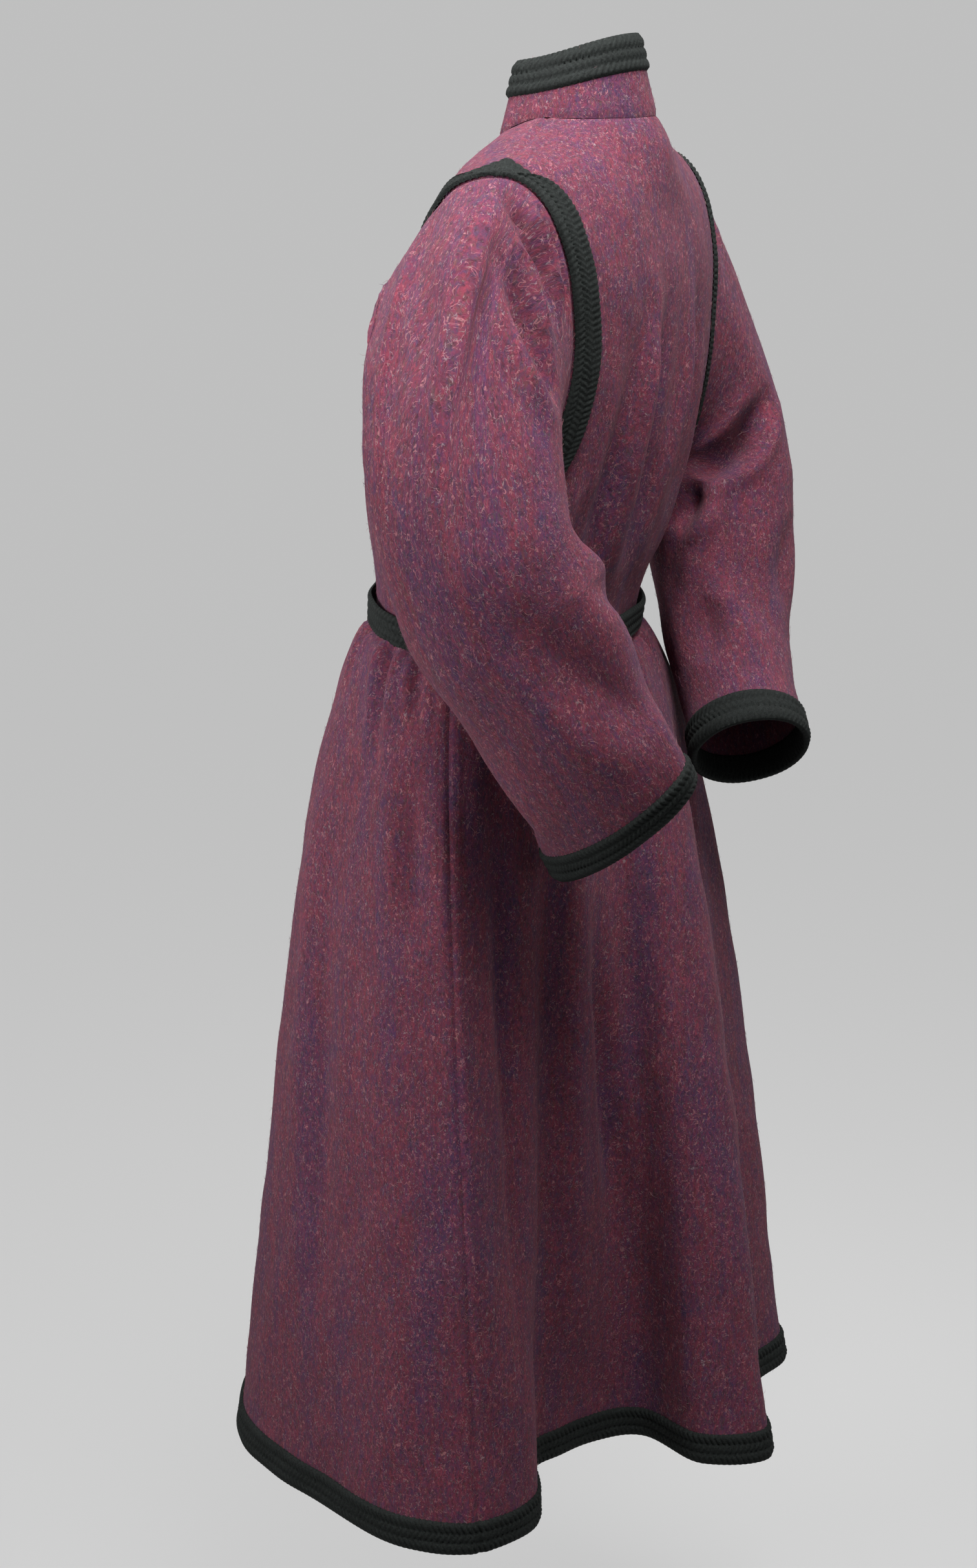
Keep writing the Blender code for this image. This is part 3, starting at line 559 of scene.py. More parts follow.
class Cloth:
    """A grid of outer points with their outward directions, and the source's rows and columns there."""

    def __init__(self, points, normals, rows, columns, grain=None):
        self.points = points
        self.normals = normals
        self.rows = rows
        self.columns = columns
        self.grain = points if grain is None else grain

    def out(self, distance):
        return self.points + self.normals * distance

    def lines(self):
        """Each point with its outward direction behind it, as six numbers."""
        return np.concatenate([self.points, self.normals], -1)


def grid_normals(points, tube=False):
    """Outward directions of a grid whose columns run left to right as seen from outside."""
    if tube:
        around = np.roll(points, -1, axis=1) - np.roll(points, 1, axis=1)
    else:
        around = np.gradient(points, axis=1)
    return unit(np.cross(np.gradient(points, axis=0), around))


def fold_height(cloth, folds, tube_columns=0):
    """How far the source's broad folds raise each point."""
    height = np.zeros(cloth.rows.shape)
    for fold in folds:
        run = np.array([fold.to_row - fold.row, fold.to_column - fold.column])
        down = cloth.rows - fold.row
        across = cloth.columns - fold.column
        if tube_columns:
            across = (across - run[1] / 2 + tube_columns / 2) % tube_columns - tube_columns / 2 + run[1] / 2
        along = (down * run[0] + across * run[1]) / (run @ run)
        aside = (down * run[1] - across * run[0]) / np.linalg.norm(run)
        fade = np.sin(np.pi * np.clip(along, 0, 1))
        height += fold.height * fade * np.exp(-(aside / fold.spread) ** 2)
    return height


def body_panel(back, left):
    """One of the four panels, from its centre line to its shoulder, armhole and side seam."""
    rows = row_places()
    edge_turns, edge_levels = panel_edge(back, rows)
    top = NECK_BACK if back else NECK_FRONT
    centre = BACK if back else FRONT
    centre_levels = np.where(rows < BELT_ROW, top + (BELT_TOP - top) * rows / BELT_ROW, edge_levels)
    fine = np.linspace(0, 1, ROW_SAMPLES)
    turns = centre + (edge_turns[:, None] - centre) * fine
    rise = fine * fine * (3 - 2 * fine)
    levels = centre_levels[:, None] + (edge_levels - centre_levels)[:, None] * rise
    side = turns if left else 180 - turns
    lengths = run_lengths(body(side, levels), 1)
    places = []
    for i, row in enumerate(rows):
        total = lengths[i, -1]
        shares = np.interp(column_lengths(total, back), lengths[i], fine)
        source = source_columns(back, row, total, fine, lengths[i])
        columns = np.interp(shares, source, np.arange(PANEL_COLUMNS + 1))
        places.append((np.interp(shares, fine, side[i]), np.interp(shares, fine, levels[i]), columns))
    turns, levels, columns = (np.array(rows_of) for rows_of in zip(*places))
    grid = np.repeat(rows[:, None], columns.shape[1], 1)
    cloth = Cloth(body(turns, levels), body_normal(turns, levels), grid, columns)
    cloth.points = cloth.out(fold_height(cloth, BACK_FOLDS if back else FRONT_FOLDS)[..., None])
    return cloth


def joined_back(left, right):
    """The back in one piece, from the coat's left side to its right."""
    def both(name):
        return np.concatenate([getattr(left, name)[:, ::-1], getattr(right, name)[:, 1:]], 1)

    return Cloth(both("points"), both("normals"), both("rows"), both("columns"), both("grain"))


def sleeve_cloth(loop, loop_normals, rings, folds, left):
    """A sleeve, from the armhole down to the cuff."""
    columns = len(loop)
    swing = np.linspace(0, 2 * np.pi, columns, endpoint=False)[:, None]
    along = np.roll(loop, -1, axis=0) - np.roll(loop, 1, axis=0)
    away = unit(np.cross(along, loop_normals)) * (1 if left else -1)
    start = loop + away * SEAM_GAP

    table = np.array([ring[1:] for ring in rings])
    lengths = run_lengths(table[:, :3])
    stops = np.linspace(0, lengths[-1] - BRAID_WIDTH, (TUBE_STEPS - 1) * FINE + 1)
    stops = np.concatenate([stops, np.linspace(lengths[-1] - BRAID_WIDTH, lengths[-1], HEM_FINE + 1)[1:]])
    centre = np.stack([curve(lengths, table[:, k], stops) for k in range(3)], -1)
    across = curve(lengths, table[:, 3], stops)
    deep = curve(lengths, table[:, 4], stops)
    tilt = np.radians(curve(lengths, table[:, 5], stops))[:, None]
    heading = unit(np.gradient(centre, stops, axis=0))
    fore = unit(np.array([0, 1, 0]) - heading[:, 1:2] * heading)
    outer = np.cross(heading, fore) * (1 if left else -1)
    fore = fore * np.cos(tilt) - heading * np.sin(tilt)
    tube = np.array([c + d * np.cos(swing) * o + a * np.sin(swing) * f
                     for c, d, o, a, f in zip(centre, deep, outer, across, fore)])

    reach = np.linalg.norm(tube[0] - start, axis=1, keepdims=True)
    lean = CAP_LEAN + CAP_TURN * np.cos(swing)
    spring = CAP_SPRING + CAP_PUFF * np.clip(-np.sin(swing), 0, 1)
    leave = unit(away * lean + loop_normals * (1 - lean)) * reach * spring
    arrive = heading[0] * reach * CAP_FALL
    cap = []
    shares = np.concatenate([NEAR_CAP, np.linspace(0, 1, len(CAP_STEPS) * FINE)[2:-1]])
    for t in shares:
        near = (1 + 2 * t) * (1 - t) ** 2 * start + t * (1 - t) ** 2 * leave
        far = t * t * (3 - 2 * t) * tube[0] - t * t * (1 - t) * arrive
        cap.append(near + far)
    points = np.concatenate([np.array(cap), tube])
    cap_end = len(CAP_STEPS) - 1
    tube_rows = np.interp(stops, [0, lengths[-1] - BRAID_WIDTH, lengths[-1]],
                          [cap_end, cap_end + TUBE_STEPS - 1, cap_end + TUBE_STEPS])
    rows = np.concatenate([np.interp(shares, CAP_STEPS, np.arange(len(CAP_STEPS))), tube_rows])
    source = np.arange(columns) * 2 * ARMHOLE_ROWS / columns
    row_grid, column_grid = np.meshgrid(rows, source, indexing="ij")
    drop = np.concatenate([centre[0, 2] + (1 - shares) * GRAIN_CAP, centre[0, 2] - stops])
    drop = np.repeat(drop[:, None], columns, 1)
    round_x, round_y = GRAIN_DEEP * np.cos(swing[:, 0]), GRAIN_ACROSS * np.sin(swing[:, 0])
    grain = np.stack([round_x + 0 * drop, round_y + 0 * drop, drop], -1)
    outward = grid_normals(points, tube=True) * (1 if left else -1)
    cloth = Cloth(points, outward, row_grid, column_grid, grain)
    cloth.points = cloth.out(fold_height(cloth, folds, 2 * ARMHOLE_ROWS)[..., None])
    return cloth


def place_on(cloth, row, column):
    """The point of the cloth at a source row and column."""
    rows = cloth.rows[:, 0]
    at = np.interp(row, rows, np.arange(len(rows)))
    low = int(min(at, len(rows) - 2))
    points = []
    for r in (low, low + 1):
        line = cloth.columns[r]
        order = np.argsort(line)
        points.append([np.interp(column, line[order], cloth.points[r, order, k]) for k in range(3)])
    return np.array(points[0]) + (np.array(points[1]) - points[0]) * (at - low)


def crease_height(points, stations, crease):
    """How far a crease moves each point, as a soft trough between low shoulders."""
    lengths = run_lengths(stations)
    at = np.linspace(0, lengths[-1], CREASE_STATIONS)
    line = np.stack([curve(lengths, stations[:, k], at) for k in range(3)], -1)
    reach = lengths[-1] / 2 + CREASE_REACH * crease.spread + CREASE_MARGIN
    close = np.linalg.norm(points - line.mean(0), axis=-1) < reach
    place = points[close]
    near = np.full(len(place), np.inf)
    share = np.zeros(len(place))
    for k in range(CREASE_STATIONS - 1):
        run = line[k + 1] - line[k]
        along = np.clip((place - line[k]) @ run / (run @ run), 0, 1)
        apart = np.linalg.norm(place - line[k] - along[:, None] * run, axis=-1) / crease.spread
        closer = apart < near
        near = np.where(closer, apart, near)
        share = np.where(closer, (k + along) / (CREASE_STATIONS - 1), share)
    rising = np.sin(np.pi / 2 * np.clip(share / crease.peak, 0, 1))
    falling = np.cos(np.pi / 2 * np.clip((share - crease.peak) / (1 - crease.peak), 0, 1))
    fade = np.where(share < crease.peak, rising, falling)
    beside = np.exp(-((near - SHOULDER_PLACE) / SHOULDER_SPREAD) ** 2)
    trough = np.exp(-near ** CREASE_ROUND) - SHOULDER_SHARE * beside
    height = np.zeros(points.shape[:-1])
    height[close] = -crease.depth * fade * trough
    return height


def uneven_height(points):
    height = np.zeros(points.shape[:-1])
    for swell, wave, phase in UNEVEN:
        wave = np.array(wave)
        bend = UNEVEN_BEND * np.sin(points @ (wave[[1, 2, 0]] * UNEVEN_BEND_SCALE))
        height += swell * np.sin(points @ wave + phase + bend)
    return height


def crease_body(panels):
    """Works the creases into the four panels together, so that they cross the seams."""
    heights = {name: uneven_height(panel.points) for name, panel in panels.items()}
    for home, creases in BODY_CREASES.items():
        for crease in creases:
            stations = np.array([place_on(panels[home], *station) for station in crease.stations])
            for name, panel in panels.items():
                heights[name] += crease_height(panel.points, stations, crease)
    pocket = panels["front_left"]
    stations = np.array([place_on(pocket, *station) for station in POCKET_LINE.stations])
    heights["front_left"] += crease_height(pocket.points, stations, POCKET_LINE)
    for name, panel in panels.items():
        panel.points = panel.out(heights[name][..., None])


def crease_sleeve(sleeve, creases):
    height = uneven_height(sleeve.points)
    for crease in creases:
        stations = np.array([place_on(sleeve, *station) for station in crease.stations])
        height += crease_height(sleeve.points, stations, crease)
    sleeve.points[0] += unit(sleeve.points[0] - sleeve.points[1]) * SEAM_MEET
    down = run_lengths(sleeve.points, 0)
    height *= 1 - np.exp(-(down / CREASE_START) ** 2)
    sleeve.points = sleeve.out(height[..., None])
    sleeve.points = seam_dip(sleeve, down)


def finish_panel(panel):
    """Presses a panel into its seams, over the allowance that is pressed open behind them."""
    panel.points[:, -1] += unit(panel.points[:, -1] - panel.points[:, -2]) * SEAM_MEET
    panel.points[0] += unit(panel.points[0] - panel.points[1]) * SEAM_MEET
    from_side = run_lengths(panel.points[:, ::-1], 1)[:, ::-1]
    rise = np.clip((SEAM_ALLOWANCE - from_side) / ALLOWANCE_EDGE + 0.5, 0, 1)
    rise = ALLOWANCE_RISE * rise * rise * (3 - 2 * rise)
    panel.points = panel.out(rise[..., None])
    panel.points = seam_dip(panel, from_side, SIDE_SEAM_DIP)
    panel.points = seam_dip(panel, run_lengths(panel.points, 0))


def seam_dip(cloth, distances, strength=1.0):
    """Points pressed in where the cloth rolls into a seam."""
    dip = SEAM_DIP * strength * np.exp(-(distances / SEAM_ROLL) ** 2)
    return cloth.points - cloth.normals * dip[..., None]


def grid_faces(rows, columns, tube, flip=False):
    """Quads of a grid of points that are numbered row by row."""
    steps = columns if tube else columns - 1
    r, c = np.mgrid[0:rows - 1, 0:steps]
    d = (c + 1) % columns
    quads = np.stack([r * columns + c, (r + 1) * columns + c, (r + 1) * columns + d, r * columns + d], -1)
    quads = quads.reshape(-1, 4)
    return quads[:, ::-1] if flip else quads


def mesh_object(name, points, faces, materials, grain=None, sharp=CLOTH_SHARP):
    mesh = bpy.data.meshes.new(name)
    mesh.from_pydata(points.tolist(), [], faces.tolist() if hasattr(faces, "tolist") else faces)
    mesh.update()
    if grain is not None:
        layer = mesh.attributes.new("grain", "FLOAT_VECTOR", "POINT")
        layer.data.foreach_set("vector", np.ascontiguousarray(grain, dtype=np.float32).ravel())
    for material in materials:
        mesh.materials.append(material)
    mesh.shade_smooth()
    mesh.set_sharp_from_angle(angle=math.radians(sharp))
    piece = bpy.data.objects.new(name, mesh)
    bpy.context.scene.collection.objects.link(piece)
    return piece


def wall(name, cloth, material, tube=False, mirrored=False):
    """A sheet of cloth as a closed wall, inward from its outer points."""
    rows, columns = cloth.points.shape[:2]
    outer = cloth.points.reshape(-1, 3)
    inner = cloth.out(-CLOTH).reshape(-1, 3)
    count = len(outer)
    faces = [grid_faces(rows, columns, tube), grid_faces(rows, columns, tube, True) + count]

    def close_rim(a, b, flip):
        rim = np.stack([a, b, b + count, a + count], -1)
        faces.append(rim[:, ::-1] if flip else rim)

    steps = np.arange(columns if tube else columns - 1)
    for row, flip in ((0, False), (rows - 1, True)):
        close_rim(row * columns + steps, row * columns + (steps + 1) % columns, flip)
    if not tube:
        for column, flip in ((0, True), (columns - 1, False)):
            down = np.arange(rows - 1) * columns + column
            close_rim(down, down + columns, flip)
    faces = np.concatenate(faces)
    if mirrored:
        faces = faces[:, ::-1]
    grain = np.concatenate([cloth.grain.reshape(-1, 3)] * 2)
    return mesh_object(name, np.concatenate([outer, inner]), faces, [material], grain)


def nap(name, cloth, material, tube):
    """Loose fibres that stand off a sheet of cloth, each a thin tapered prism with three sides."""
    count = FIBRE_COUNTS[name]
    chance = np.random.default_rng(sorted(FIBRE_COUNTS).index(name) + 1)
    rows, columns = cloth.points.shape[:2]
    steps = columns if tube else columns - 1
    r, c = np.mgrid[0:rows - 1, 0:steps]
    r, c = r.ravel(), c.ravel()
    d = (c + 1) % columns
    here, below, beside = cloth.points[r, c], cloth.points[r + 1, c], cloth.points[r, d]
    area = np.linalg.norm(np.cross(below - here, beside - here), axis=-1)
    pick = chance.choice(len(r), count, p=area / area.sum())
    u, v = chance.random((2, count, 1))
    r, c, d = r[pick], c[pick], d[pick]
    corners = [(r, c, (1 - u) * (1 - v)), (r + 1, c, u * (1 - v)), (r, d, (1 - u) * v), (r + 1, d, u * v)]
    root = sum(cloth.points[i, j] * share for i, j, share in corners)
    up = unit(sum(cloth.normals[i, j] * share for i, j, share in corners))
    across = unit(np.cross(up, chance.normal(size=(count, 3)) + FIBRE_FALL * np.array([0.0, 0.0, 1.0])))
    along = np.cross(across, up)
    length = FIBRE_LENGTH * np.exp(FIBRE_LENGTH_SPREAD * chance.normal(size=(count, 1)))
    turn = chance.normal(size=(count, 1)) * FIBRE_CURL
    rise = FIBRE_RISE * np.exp(FIBRE_RISE_SPREAD * chance.normal(size=(count, 1)))
    places = []
    for k in range(FIBRE_JOINTS + 1):
        t = k / FIBRE_JOINTS
        way = along * (t * length) + across * (turn * t * t * length * 0.5)
        arch = (1 + FIBRE_ARCH) * t - FIBRE_ARCH * t * t
        places.append(root + way + up * (rise * arch - FIBRE_ROOT * (1 - t)))
    points = []
    for place in places[:-1]:
        for angle in FIBRE_CORNERS:
            x, y = math.cos(math.radians(angle)), math.sin(math.radians(angle))
            points.append(place + across * (FIBRE_RADIUS * x) + up * (FIBRE_RADIUS * y))
    points.append(places[-1])
    points = np.stack(points, 1)
    faces = [(0, 2, 1)]
    tip = 3 * FIBRE_JOINTS
    for a in range(3):
        b = (a + 1) % 3
        for k in range(0, tip - 3, 3):
            faces += [(k + a, k + b, k + 3 + b), (k + a, k + 3 + b, k + 3 + a)]
        faces.append((tip - 3 + a, tip - 3 + b, tip))
    faces = np.array(faces)[None] + (np.arange(count) * points.shape[1])[:, None, None]
    shade = np.repeat(chance.random((count, 1)), points.shape[1], 1).reshape(-1, 1)
    grain = np.concatenate([shade, 0 * shade, 0 * shade], 1)
    piece = mesh_object(name + "_nap", points.reshape(-1, 3), faces.reshape(-1, 3), [material], grain, 180.0)
    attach(piece, "root")
    return piece


def resampled(lines, spacing, ring):
    """Lines side by side, sampled again at an even spacing along their middle."""
    if ring:
        lines = np.concatenate([lines, lines[:1]])
    middle = run_lengths(lines[:, lines.shape[1] // 2, :3])
    count = max(8, int(round(middle[-1] / spacing)))
    at = np.linspace(0, middle[-1], count + 1)
    if ring:
        at = at[:-1]
    flat = lines.reshape(len(lines), -1)
    sampled = np.stack([np.interp(at, middle, flat[:, k]) for k in range(flat.shape[1])], -1)
    return sampled.reshape(len(at), *lines.shape[1:]), at, middle[-1] / count


def across_band(base, share):
    """Points of a band at a share of the way from its edge, or beyond the edge if less than zero."""
    steps = base.shape[1] - 1
    place = np.clip(share, 0, 1) * steps
    i = min(int(place), steps - 1)
    point = base[:, i] + (base[:, i + 1] - base[:, i]) * (place - i)
    if share < 0:
        point = point + unit(base[:, 0] - base[:, 1]) * (-share * BRAID_WIDTH)
    return point


def plait_relief(along, share, rows):
    """How far the stitches of a plait sink at a place."""
    row = min(int(share * rows), rows - 1)
    x = 2 * (share * rows - row) - 1
    slant = PLAIT_SLANTS[row % len(PLAIT_SLANTS)]
    phase = along / PLAIT_PITCH + slant * x + PLAIT_SHIFT * row
    stitch = np.floor(phase)
    t = 2 * (phase - stitch) - 1
    by_stitch, by_row = PLAIT_JITTER_WAVES
    jitter = 1 + PLAIT_JITTER * np.sin(stitch * by_stitch + row * by_row)
    lobe = np.sqrt(np.clip(1 - t * t, 0, 1))
    return -PLAIT_DEPTH * (1 - lobe) * jitter - BRAID_GROOVE * abs(x) ** PLAIT_ROUND


def binding_outline():
    """Outline of a folded braid: share from the edge, height, outward direction, and its face."""
    outline = [(1.0, BRAID_LAP, 0, 0, None)]
    facets = BRAID_ROWS * PLAIT_FACETS
    for k in range(facets, -1, -1):
        outline.append((k / facets, BRAID_LAP + BRAID_THICK, 0, 1, "face"))
    outline[1] = (1.0, BRAID_LAP + BRAID_THICK * EDGE_THICK, 0, 1, "face")
    half = CLOTH / 2 + BRAID_LAP + BRAID_THICK
    for angle in NOSE_ANGLES:
        c, s = math.cos(math.radians(angle)), math.sin(math.radians(angle))
        beyond = -s * BRAID_THICK * NOSE_REACH / BRAID_WIDTH
        outline.append((beyond, -CLOTH / 2 + c * half * NOSE_DEPTH, -1, 0, "nose"))
    under = -CLOTH - BRAID_LAP
    for share in UNDER_SHARES:
        thick = BRAID_THICK * (1.0 if share < 1 else EDGE_THICK)
        outline.append((share, under - thick, 0, -1, "face"))
    outline += [(1.0, under, 0, 0, None), (0.0, under, 0, 0, None), (0.0, BRAID_LAP, 0, 0, None)]
    return outline


def flat_outline(rows, lap, thick):
    """Outline of a braid that lies flat on the cloth."""
    outline = [(1.0, lap, 0, 0, None)]
    facets = rows * PLAIT_FACETS
    for k in range(facets, -1, -1):
        height = thick * (0.5 if k in (0, facets) else 1.0)
        outline.append((k / facets, lap + height, 0, 1, "face"))
    outline.append((0.0, lap, 0, 0, None))
    return outline


def braid(name, lines, outline, material, rows=BRAID_ROWS, ring=False, trim=0.0):
    """A plaited braid along a band of cloth."""
    lines, along, step = resampled(lines, PLAIT_PITCH / PLAIT_SAMPLES, ring)
    if ring:
        pitches = max(1, round((along[-1] + step) / PLAIT_PITCH))
        along = along * pitches * PLAIT_PITCH / (along[-1] + step)
    if trim:
        keep = (along >= trim) & (along <= along[-1] - trim)
        lines, along = lines[keep], along[keep]
    band, up = lines[..., :3], unit(lines[..., 3:])
    points = []
    for share, height, out_across, out_up, face in outline:
        point = across_band(band, share)
        lift = unit(across_band(up, max(share, 0.0)))
        outward = unit(band[:, 0] - band[:, 1]) * abs(out_across) + lift * out_up
        rise = np.zeros(len(along))
        if face == "face":
            rise = plait_relief(along, share, rows)
        elif face == "nose":
            rise = plait_relief(along, NOSE_SHARE, rows) * NOSE_RELIEF
        if face and share in (0.0, 1.0):
            side = 2 if share else 0
            beyond = unit(band[:, -1] - band[:, -2]) if share else unit(band[:, 0] - band[:, 1])
            lobe = np.abs(np.sin(np.pi * (along / PLAIT_PITCH + PLAIT_SHIFT * side)))
            point = point + beyond * (PLAIT_SCALLOP * (lobe - SCALLOP_MIDDLE))[:, None]
        points.append(point + lift * height + outward * rise[:, None])
    points = np.stack(points, 1)
    sections, corners = points.shape[:2]
    r, c = np.mgrid[0:sections if ring else sections - 1, 0:corners]
    n, d = (r + 1) % sections, (c + 1) % corners
    faces = np.stack([r * corners + c, r * corners + d, n * corners + d, n * corners + c], -1)
    faces = faces.reshape(-1, 4).tolist()
    if not ring:
        faces.append(list(range(corners))[::-1])
        faces.append([(sections - 1) * corners + k for k in range(corners)])
    flat = points.reshape(-1, 3)
    around = np.tile(np.arange(corners) * GRAIN_STEP, sections)
    grain = np.stack([np.repeat(along, corners), around, 0 * around], -1)
    piece = mesh_object(name, flat, faces, [material], grain, BRAID_SHARP)
    fix_normals(piece)
    return piece


def fix_normals(piece):
    """Turns a closed piece's faces outward."""
    mesh = piece.data
    coordinates = np.empty(len(mesh.vertices) * 3)
    mesh.vertices.foreach_get("co", coordinates)
    coordinates = coordinates.reshape(-1, 3)
    corners = np.array([list(p.vertices)[:3] for p in mesh.polygons])
    a, b, c = (coordinates[corners[:, k]] for k in range(3))
    if np.einsum("ij,ij->i", a, np.cross(b, c)).sum() < 0:
        mesh.flip_normals()


def all_round(panels, take):
    """Rows of the four panels joined once round, from the left front edge to the right."""
    front_left, back_left, back_right, front_right = (take(panel) for panel in panels)
    return np.concatenate([front_left, back_left[:, ::-1], back_right, front_right[:, ::-1]], 1)


def armhole_rows(cloth):
    rows = cloth.rows[:, 0]
    return np.where((rows >= SHOULDER_ROWS - 1e-6) & (rows <= SHOULDER_ROWS + ARMHOLE_ROWS + 1e-6))[0]


def armhole_loop(front, back):
    """The armhole's edge once round, from the shoulder down the back and up the front."""
    down = armhole_rows(back)
    up = down[-2:0:-1]
    points = np.concatenate([back.points[down, -1], front.points[up, -1]])
    normals = np.concatenate([back.normals[down, -1], front.normals[up, -1]])
    return points, normals


def band_line(line, width):
    """Places along a line at even steps, up to a width from its start."""
    lengths = run_lengths(line[:, :3])
    at = np.linspace(0, width, BAND_POINTS)
    return np.stack([np.interp(at, lengths, line[:, k]) for k in range(6)], -1)


def edge_band(cloth, rows, width, outer):
    """Lines across a panel beside its first or its last column."""
    return np.array([band_line(line[::-1] if outer else line, width) for line in cloth.lines()[rows]])


def seam_band(cloth, rows):
    """One line of a band, along a panel's outer edge."""
    return band_line(cloth.lines()[rows, -1], BRAID_WIDTH)[None]


def armhole_band(front, back):
    """The band beside the armhole, once round, as lines from the edge outward."""
    rows = armhole_rows(back)
    top, bottom = rows[0], rows[-1]
    up = np.arange(top, -1, -1)
    down = np.arange(bottom, bottom + UNDERARM_ROWS * FINE)
    lines = [seam_band(back, up), edge_band(back, rows[1:-1], BRAID_WIDTH, True),
             seam_band(back, down), edge_band(front, rows[1:-1][::-1], BRAID_WIDTH, True)]
    return np.concatenate(lines)


def led_on(lines, reach):
    """Lines of a band with one more line beyond each end."""
    ends = []
    for end, inner in ((0, 1), (-1, -2)):
        beyond = lines[:, end].copy()
        beyond[:, :3] += unit(lines[:, end, :3] - lines[:, inner, :3]) * reach
        ends.append(beyond[:, None])
    return np.concatenate([ends[0], lines, ends[1]], 1)


def from_edge(rows):
    """Rows of cloth as lines across a band, each from the last row inward."""
    return np.swapaxes(rows[::-1], 0, 1)


def build_cloth():
    panels = {}
    for back, left in ((False, True), (True, True), (True, False), (False, False)):
        name = ("back" if back else "front") + ("_left" if left else "_right")
        panels[name] = body_panel(back, left)
    return panels


def collar_cloth(panels):
    """The stand collar, up from the neckline and drawn in towards its top."""
    base = all_round(panels, lambda panel: panel.points[:1])[0]
    base = base[::3]
    turn = np.degrees(np.arctan2(base[:, 1] - NECK_SPINE, base[:, 0]))
    back = (1 + np.sin(np.radians(turn))) / 2
    centre = np.stack([0 * back, NECK_SPINE + 0 * back, base[:, 2]], -1)
    top = centre + (base - centre) * COLLAR_TAPER
    top[:, 1] += COLLAR_LEAN
    top[:, 2] = curve((0, 0.5, 1), (COLLAR_TOP_FRONT, COLLAR_TOP_SIDE, COLLAR_TOP_BACK), back)
    plain = (top - base) * (1 - BRAID_WIDTH / np.linalg.norm(top - base, axis=1, keepdims=True))
    rows = [base + plain * step for step in COLLAR_FINE]
    rows += [base + plain + (top - base - plain) * step for step in np.linspace(0, 1, HEM_FINE + 1)[1:]]
    rows[0] = base + unit(top - base) * SEAM_GAP
    points = np.array(rows[::-1])
    grid = np.repeat(np.arange(len(points), dtype=float)[:, None], points.shape[1], 1)
    return Cloth(points, grid_normals(points), grid, grid)


def add(nodes, kind, settings=None, **values):
    """A new node, with its own values and the settings of its inputs."""
    node = nodes.new(kind)
    for key, value in values.items():
        setattr(node, key, value)
    for key, value in (settings or {}).items():
        node.inputs[key].default_value = value
    return node


def surface(name, settings):
    """A material with one shader, and its nodes and links."""
    material = bpy.data.materials.new(name)
    material.use_nodes = True
    nodes, links = material.node_tree.nodes, material.node_tree.links
    nodes.clear()
    output = add(nodes, "ShaderNodeOutputMaterial")
    shader = add(nodes, "ShaderNodeBsdfPrincipled", settings)
    links.new(shader.outputs["BSDF"], output.inputs["Surface"])
    return material, shader, nodes, links


def colour_ramp(nodes, links, value, stops):
    ramp = add(nodes, "ShaderNodeValToRGB")
    elements = ramp.color_ramp.elements
    while len(elements) < len(stops):
        elements.new(0.5)
    for element, (place, colour) in zip(elements, stops):
        element.position = place
        element.color = (*colour, 1.0)
    links.new(value, ramp.inputs["Fac"])
    return ramp.outputs["Color"]


def roughen(nodes, links, shader, height, strength, distance):
    bump = add(nodes, "ShaderNodeBump", {"Strength": strength, "Distance": distance})
    links.new(height, bump.inputs["Height"])
    links.new(bump.outputs["Normal"], shader.inputs["Normal"])


def wool_material():
    material, shader, nodes, links = surface("wool melange", WOOL_SURFACE)
    grain = add(nodes, "ShaderNodeAttribute", attribute_name="grain")

    def noise(scale, stretch, detail, distortion, offset=0.0, roughness=0.5):
        mapping = add(nodes, "ShaderNodeMapping", {
            "Scale": (scale, scale, scale * stretch), "Location": (offset, offset * 0.7, offset * 0.3)})
        links.new(grain.outputs["Vector"], mapping.inputs["Vector"])
        texture = add(nodes, "ShaderNodeTexNoise", {
            "Scale": 1.0, "Detail": detail, "Roughness": roughness, "Distortion": distortion})
        links.new(mapping.outputs["Vector"], texture.inputs["Vector"])
        return texture.outputs["Fac"]

    def mix(base, tint, share):
        node = add(nodes, "ShaderNodeMix", data_type="RGBA")
        links.new(base, node.inputs["A"])
        node.inputs["B"].default_value = (*tint, 1.0)
        links.new(share, node.inputs["Factor"])
        return node.outputs["Result"]

    def step(value, low, high, top=1.0):
        node = add(nodes, "ShaderNodeMapRange", {"From Min": low, "From Max": high, "To Max": top})
        links.new(value, node.inputs["Value"])
        return node.outputs["Result"]

    def reckon(operation, *values):
        node = add(nodes, "ShaderNodeMath", operation=operation)
        for k, value in enumerate(values):
            if isinstance(value, float):
                node.inputs[k].default_value = value
            else:
                links.new(value, node.inputs[k])
        return node.outputs["Value"]

    def threads(scale, offset, width, breaks):
        """Short curly lines: where a slow noise crosses its middle, broken up by a second noise."""
        line = reckon("SUBTRACT", noise(scale, 0.75, 1, 1.4, offset), 0.5)
        thin = step(reckon("ABSOLUTE", line), width, 0.0, 0.7)
        part = step(noise(scale * 1.7, 0.8, 1, 0.5, offset + 5.0), breaks, breaks + 0.05)
        return reckon("MULTIPLY", thin, part)

    colour = colour_ramp(nodes, links, noise(*WOOL_STRIPE_GRAIN), WOOL_STRIPES)
    for tint, grains, reach in WOOL_BLOTCHES:
        colour = mix(colour, tint, step(noise(*grains), *reach))
    for tint, lines in WOOL_THREADS:
        colour = mix(colour, tint, threads(*lines))
    links.new(colour, shader.inputs["Base Color"])
    height = reckon("ADD", *(noise(*grains) for grains in WOOL_RELIEF))
    roughen(nodes, links, shader, height, *WOOL_BUMP)
    return material


